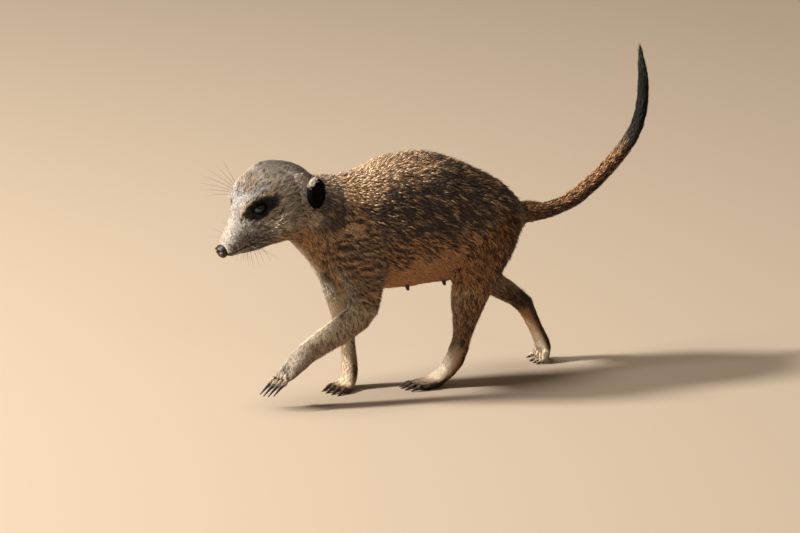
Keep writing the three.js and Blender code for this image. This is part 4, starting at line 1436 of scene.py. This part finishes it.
def lid_point(centre, axes, turn, scale, lift):
    out, along, up = axes
    a = SLIT_HALF * math.cos(turn) * scale
    b = SLIT_HIGH * math.sin(turn) * abs(math.sin(turn)) ** 0.35 * scale
    flat = centre + along * a + up * b
    on_ball = flat + out * math.sqrt(EYE_RADIUS**2 - min(a * a + b * b, EYE_RADIUS**2 * 0.9))
    share = float(ramp(scale, 1.0, 1.6))
    place = (1 - share) * on_ball + share * towards_skin(flat, out) + out * lift - centre
    return centre + place * max(1, (EYE_RADIUS + LID_GAP) / np.linalg.norm(place))


for side, centre, out_x in (("left", eye_left, 1), ("right", eye_right, -1)):
    axes = [axis * (out_x, 1, 1) for axis in (EYE_OUT, SLIT_WAY, LID_WAY)]
    turns = np.arange(LID_AROUND) * 2 * math.pi / LID_AROUND
    points = [lid_point(centre, axes, turn, *ring) for ring in LID_RINGS for turn in turns]
    faces = ring_faces(len(LID_RINGS), LID_AROUND, flip=out_x < 0)
    make_piece(f"eyelids_{side}", points, faces, lid_material)
print("lids: 2 rims of", len(LID_RINGS), "rings")

# %% [markdown]
# The nose pad is a ball pressed to the solid's size, with a comma-shaped nostril sunk on each side and
# a groove down the middle of the lip.

# %% Nose
NOSE_SWELL, NOSE_GRID, NOSE_RELAX = 0.3, 0.3, 28
pad = Surface(*swollen_union(["nose"], NOSE_SWELL, NOSE_GRID))
pad.relax(NOSE_RELAX, SMOOTHING)
off = pad.points - nose_middle
across, height = np.abs(off[:, 0]), off[:, 2]
slope = unit([0, -1.0, -0.45])
pad.points -= np.outer(0.75 * np.maximum(off @ slope - 2.3, 0), slope)
nostril = line_bump(across - 2.5, 1.0) * line_bump(height - 0.2, 0.9)
comma = line_bump(across - 3.9, 1.3) * line_bump(height + 0.7 - 0.35 * (across - 3.0), 0.5)
philtrum = line_bump(across, 0.4) * (1 - ramp(height, -0.5, 2.0))
wing = line_bump(np.hypot(across - 2.9, (height - 0.1) * 1.2) - 1.9, 0.55)
sunk = ramp(-off[:, 1], -2.5, -0.5) * (2.4 * nostril + 1.4 * comma + 0.6 * philtrum - 0.4 * wing)
pad.points -= pad.normals() * sunk[:, None]
nose = make_piece("nose_pad", pad.points, pad.triangles, nose_material)
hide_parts("nose")
print("nose:", np.ptp(nose_points, axis=0).round(1), "mm")

# %% [markdown]
# The ears are small black crescents that fold shut when the animal digs. The solid already has the
# hollow, so its facets are rebuilt on a fine grid and relaxed, and short black hair is laid on top. The
# rim is left for the pale fringe of the next step, whose roots are strewn here.

# %% Ears
EAR_SWELL, EAR_GRID, EAR_RELAX = -0.1, 0.42, 14
EAR_NUMBER, RIM_NUMBER = 4.5, 9.0  # tufts per square mm
EAR_HAIR = (3.0, 0.32, 0.9)  # length, width, depth in mm
EAR_TONES = {"pale": 0, "dark": 1, "warm": 0, "black": 0.93}
ear_material, graph, shader = new_material("black ear fur", Roughness=0.75, Specular_IOR_Level=0.06)
mottle = graph.node("ShaderNodeTexNoise", Vector=graph.object_place(), Scale=900.0).outputs["Fac"]
tone = graph.blend(mottle, rgba((0.002, 0.0015, 0.0015)), rgba((0.006, 0.004, 0.004)))
graph.feed(shader, Base_Color=tone)


def ear_chart(root, faces_in):
    """The ear seen from its side, its two faces next to each other."""
    share = (root - root.min(0)) / (root.max(0) - root.min(0) + 0.01)
    return np.stack([(share[:, 1] + faces_in) / 2, share[:, 2]], 1) * CHART_MARGIN


fringe_batches = []  # roots, normals and directions of the pale hair round the ears
for side, out_x in (("left", 1), ("right", -1)):
    ear = Surface(*swollen_union([f"ear_{side}"], EAR_SWELL, EAR_GRID))
    ear.relax(EAR_RELAX, SMOOTHING)
    piece = make_piece(f"ear_shell_{side}", ear.points, ear.triangles, ear_material)
    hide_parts(f"ear_{side}")
    share = (ear.points - ear.points.min(0)) / np.ptp(ear.points, axis=0)
    rim = ramp(share[:, 2] - 0.9 * share[:, 1], 0.6, 0.75)
    roots = Roots(ear, EAR_NUMBER * (1 - rim))
    root, normal = roots.on(ear.points, ear.normals())
    comb = np.array([0.35 * out_x, 0.55, 0.55]) - (root - ear.points.mean(0)) * (0, 0, 0.03)
    rim_root, rim_normal = Roots(ear, RIM_NUMBER * rim).on(ear.points, ear.normals())
    rim_comb = np.array([0.4 * out_x, 0.7, 0.55]) + 0.2 * random.normal(0, 1, rim_root.shape)
    fringe_batches.append((rim_root, rim_normal, rim_comb))
    grown = grow_tufts(SHORT_TUFT, root, normal, comb, *EAR_HAIR, spread=0.3)
    chart = ear_chart(root, normal[:, 0] * out_x < 0)
    fur = batch(SHORT_TUFT, grown, chart, (0, 1), EAR_TONES)
    tuft_piece(f"ear_fur_{side}", ear_material, [fur])
print("ears:", len(ear.points), "points and", roots.count, "tufts each")

# %% [markdown]
# The ear stands half hidden in a fringe of longer pale hair that grows before it and over its top.
# These tufts are longer and steeper than their neighbours, so they make a piece of their own.

# %% The fringe round the ears
FRINGE_LENGTH, FRINGE_WIDTH, FRINGE_DEPTH, FRINGE_NUMBER = 5.2, 0.26, 2.0, 7.0
RIM_SHARE, FRINGE_EDGE = 0.75, 0.2  # size on the ear itself; where the fringe stops
FRINGE_TONES = {"pale": 0.9, "dark": 0.05, "warm": 0.3, "black": 0}
over_ear = head * bump_at(half, (20.5, -114, 165.5), (4, 4, 3))
fringe = np.clip(0.7 * before_ear + ear_tuft + 1.5 * over_ear, 0, 1) * hair_here
fringe *= before_ear + ear_tuft + over_ear > FRINGE_EDGE
root, normal = Roots(skin, FRINGE_NUMBER * fringe).on(skin.points, normals)
out_x = np.sign(root[:, 0] - MIDDLE_X)
chance = 0.3 * random.normal(0, 1, len(root))
comb = unit(np.stack([0.7 * out_x, np.full(len(root), 0.75), 0.3 + chance], 1))
fringe_batches.append((root, normal, comb))
size = np.repeat((RIM_SHARE, RIM_SHARE, 1.0), [len(part[0]) for part in fringe_batches])
root, normal, comb = (np.vstack(parts) for parts in zip(*fringe_batches))
grown = grow_tufts(
    LONG_TUFT, root, normal, comb, FRINGE_LENGTH * size, FRINGE_WIDTH, FRINGE_DEPTH * size
)
fringe_fur = batch(LONG_TUFT, grown, chart_of(root, "head"), (0.5, 1.0), FRINGE_TONES)
tuft_piece("ear_fringe", coat_material, [fringe_fur])
print("ear fringe:", len(root), "tufts")

# %% [markdown]
# Meerkats dig with long, slightly hooked fore claws. Each is lofted: planes cut the solid across, the
# sections are rounded to ovals, and a skin is laid over them down to the point.

# %% The loft of a claw
CLAW_SECTIONS, CLAW_AROUND = 11, 14


def claw_section(name, place, axis, side, up):
    """The oval round a cut across the claw."""
    off = plane_cut(name, place, axis) - place
    flat = np.stack([off @ side, off @ up], 1)
    centre, half_size = box_middle(flat), np.ptp(flat, axis=0) / 2
    middle = place + side * centre[0] + up * centre[1]
    return middle + oval(side * half_size[0], up * half_size[1], CLAW_AROUND)


def claw_loft(name, paw_middle):
    corners = node_points(name)
    middle, axis = long_axis(corners)
    axis = axis if (middle - paw_middle) @ axis > 0 else -axis
    reach = (corners - middle) @ axis
    side = unit(np.cross(axis, (0, 0.2, 1.0)))
    shares = 0.04 + 0.93 * np.arange(CLAW_SECTIONS) / (CLAW_SECTIONS - 1)
    places = [middle + axis * (reach.min() + share * np.ptp(reach)) for share in shares]
    rings = np.array([claw_section(name, place, axis, side, np.cross(side, axis)) for place in places])
    for _ in range(2):
        rings[1:-1] = 0.5 * rings[1:-1] + 0.25 * (rings[:-2] + rings[2:])
    points = np.vstack([*rings, rings[0].mean(0), corners[reach.argmax()]])
    base, tip = len(points) - 2, len(points) - 1
    base_cap = fan_faces(base, 0, CLAW_AROUND)
    tip_cap = fan_faces(tip, base - CLAW_AROUND, CLAW_AROUND, flip=True)
    caps = np.stack([base_cap, tip_cap], 1).reshape(-1, 3)
    along = np.repeat(np.arange(CLAW_SECTIONS) / CLAW_SECTIONS, CLAW_AROUND)
    return points, np.vstack([ring_faces(CLAW_SECTIONS, CLAW_AROUND), caps]), np.r_[along, 0, 1]


# %% [markdown]
# Horn grows in faint bands and wears paler towards the point, so the shade follows the share along the
# claw with a wave over it, and the same wave makes a very low relief.

# %% Claws
claw_material, graph, shader = new_material(
    "claw horn", Roughness=0.42, Specular_IOR_Level=0.3, Coat_Weight=0.08, Coat_Roughness=0.3
)
growth = graph.node(
    "ShaderNodeTexWave", {"bands_direction": "DIAGONAL"},
    Vector=graph.object_place(), Scale=900.0, Distortion=4.0,
).outputs["Fac"]
shade = graph.maths("MULTIPLY_ADD", graph.attribute("along"), 0.6, graph.maths("MULTIPLY", growth, 0.3))
relief = graph.node("ShaderNodeBump", Height=growth, Strength=0.25, Distance=0.00006).outputs["Normal"]
tone = graph.blend(shade, rgba((0.010, 0.007, 0.006)), rgba((0.055, 0.036, 0.024)))
graph.feed(shader, Base_Color=tone, Normal=relief)
toes = []
for end in ("fore", "hind"):
    for side in ("left", "right"):
        paw_middle = node_points(f"{end}_paw_{side}").mean(0)
        for digit in (1, 2, 3, 4):
            toe = f"{end}_{side}_{digit}"
            points, faces, along = claw_loft(f"claw_{toe}", paw_middle)
            values = {"along": along}
            horn = make_piece(f"horn_{toe}", points, faces, claw_material, values)
            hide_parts(f"claw_{toe}")
            toes.append((end, side, points, faces, along))
print("claws:", len(toes))

# %% [markdown]
# The hair of the toes runs on over the root of each claw, which hides where horn and skin meet. It is
# strewn on the first third of the horn and combed towards its point.

# %% Hair over the claw roots
TOE_HAIR = {"fore": (2.4, 0.3, 0.6), "hind": (2.2, 0.32, 0.7)}  # length, width, depth in mm
TOE_NUMBER = 9.0
# The toe hair of the left fore and right hind feet is painted pale as lit, and that of the other two feet
# black, partly its own colour and partly painted shade.
PALE_TOES = {"pale": 0.7, "dark": 0.2, "warm": 0.6, "black": 0.0}
BLACK_TOES = {"pale": 0.1, "dark": 0.4, "warm": 0.6, "black": 0.75}
LIT_FEET = (("fore", "left"), ("hind", "right"))
batches = []
for number, (end, side, points, faces, along) in enumerate(toes):
    horn = Surface(points, faces, skin.edges)
    roots = Roots(horn, TOE_NUMBER * (1 - ramp(along, 0.12, 0.3)))
    root, normal = roots.on(points, horn.normals())
    comb = np.broadcast_to(unit(points[-1] - points[along < 0.1].mean(0)), root.shape)
    grown = grow_tufts(SHORT_TUFT, root, normal, comb, *TOE_HAIR[end])
    chart = np.stack([(number + roots.read(along)) / len(toes), roots.shares[:, 0]], 1) * CHART_MARGIN
    tones = PALE_TOES if (end, side) in LIT_FEET else BLACK_TOES
    batches.append(batch(SHORT_TUFT, grown, chart, (0.4, 1.0), tones))
tuft_piece("coat_toes", coat_material, batches)

# %% [markdown]
# A nursing female has three pairs of dark teats on the nearly bare belly. Each is a small turned form
# with a rounded end that leans a little back, its root under the skin.

# %% Teats
TEAT_ROOTS = [(11.5, -29.0, 78.0), (11.5, 0.0, 78.5), (9.5, 23.5, 81.5)]
TEAT_AROUND = 20
TEAT_PROFILE = [
    # reach from the skin, radius in mm
    (-2.0, 2.2), (0.0, 2.1), (0.6, 1.75), (1.6, 1.5), (2.8, 1.35), (3.8, 1.15), (4.5, 0.75), (4.8, 0.0),
]
DOWN = np.array([0, 0, -1.0])
teat_way, teat_side = unit([0, 0.3, -1]), np.array([1.0, 0, 0])
ring = oval(teat_side, np.cross(teat_way, teat_side), TEAT_AROUND)
turned = np.vstack([teat_way * reach + ring * radius for reach, radius in TEAT_PROFILE])
points, faces = [], []
for place in TEAT_ROOTS:
    for out_x in (1, -1):
        root = towards_skin(np.array(place) * (out_x, 1, 1) + (MIDDLE_X, 0, 0), DOWN)
        faces.append(ring_faces(len(TEAT_PROFILE), TEAT_AROUND, len(points) * len(turned), flip=True))
        points.append(root + turned)
make_piece("teats", np.vstack(points), np.vstack(faces), teat_material)
print("teats:", len(points))

# %% [markdown]
# Whiskers, brow hairs and the few long hairs on the chin are tapered tubes that bend under their own
# weight. Their roots are found by aiming at the skin from outside. The tables hold y and z of each root,
# how far the hair leans back and rises, and its length. The chin's hairs all hang down alike.

# %% Where the whiskers grow
LIP = (
    (-161, 119, -0.35, 0.05, 17), (-159, 121.5, -0.2, 0.2, 20), (-158, 118, -0.1, -0.15, 22),
    (-155.5, 120, 0.1, 0.0, 25), (-155, 123, 0.15, 0.25, 24), (-152, 119, 0.35, -0.1, 26),
    (-151, 122, 0.45, 0.15, 25), (-149, 118, 0.6, -0.2, 22),
)
BROW = (
    (-154, 150.5, -0.9, 0.05, 19), (-153.5, 152, -0.9, 0.2, 24), (-153, 153, -0.85, 0.35, 26),
    (-152.2, 153.8, -0.78, 0.5, 28), (-151.5, 154.5, -0.65, 0.65, 27), (-150.5, 155.2, -0.5, 0.8, 23),
    (-149.5, 155.8, -0.3, 0.95, 25),
)
CHIN = (
    (-156, 109, -0.3, 8), (-153, 109.5, -0.1, 10), (-150, 110.5, 0.05, 12),
    (-146.5, 112, 0.2, 13), (-143, 112.5, 0.3, 12), (-139, 113, 0.45, 11),
)
WHISKERS = [
    # x, y, z of the root; way out, back and up; length in mm
    *[((10.5, y, z), (0.72, lean, rise), size) for y, z, lean, rise, size in LIP],
    *[((11.5, y, z), (0.5, lean, rise), size) for y, z, lean, rise, size in BROW],
    *[((7, y, z), (0.35, lean, -0.8), size) for y, z, lean, size in CHIN],
    ((24, -138, 127), (0.85, 0.45, -0.1), 20),  # cheek
    ((24.5, -136.5, 131), (0.85, 0.5, 0.15), 17),
]
print("whiskers:", len(WHISKERS), "on each side")

# %% [markdown]
# Each whisker is a ring of five points carried along a parabola, thinner with every step, with its ends
# closed. The shader lets the colour run from dusky at the root to brown at the point.

# %% Whiskers
WHISKER_STEPS, WHISKER_SIDES, WHISKER_RADIUS = 9, 5, 0.13
WHISKER_SAG, WHISKER_TAPER, WHISKER_SUNK = 0.12, 0.8, 0.6
MUZZLE_MIDDLE = (0, -140, 130)
whisker_material, graph, shader = new_material("whisker", Roughness=0.35)
tone = graph.blend(graph.attribute("along"), rgba((0.03, 0.013, 0.007)), rgba((0.12, 0.06, 0.035)))
graph.feed(shader, Base_Color=tone)
cap = np.array([(0, j, j + 1) for j in range(1, WHISKER_SIDES - 1)])
steps = np.arange(WHISKER_STEPS) / (WHISKER_STEPS - 1)
rings, faces = [], []
for place, way_out, size in WHISKERS:
    for flip in ((1, 1, 1), (-1, 1, 1)):
        aim_way = unit(np.subtract(place, MUZZLE_MIDDLE)) * flip
        root = towards_skin(np.multiply(place, flip) + (MIDDLE_X, 0, 0), aim_way)
        direction = unit(way_out) * flip
        side = unit(np.cross(direction, (0, 0, 1)))
        ring = oval(side, np.cross(side, direction), WHISKER_SIDES)
        start = len(rings) * WHISKER_SIDES
        for t in steps:
            spot_here = root + direction * (size * t - WHISKER_SUNK) + DOWN * WHISKER_SAG * size * t * t
            rings.append(spot_here + WHISKER_RADIUS * (1 - WHISKER_TAPER * t) * ring)
        tip_start = (len(rings) - 1) * WHISKER_SIDES
        faces += [ring_faces(WHISKER_STEPS, WHISKER_SIDES, start), start + cap, tip_start + cap[:, ::-1]]
along = np.tile(np.repeat(steps, WHISKER_SIDES), 2 * len(WHISKERS))
points, faces = np.vstack(rings), np.vstack(faces)
make_piece("whiskers", points, faces, whisker_material, {"along": along})
print("whiskers:", len(faces), "triangles")

# %% [markdown]
# The box round everything that renders, the floor left out, is printed. The visual model has to keep
# to the solids' box.

# %% Sizes
seen_low, seen_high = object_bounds()
tell("box now:", [round(n, 4) for n in (*seen_low, *seen_high)])
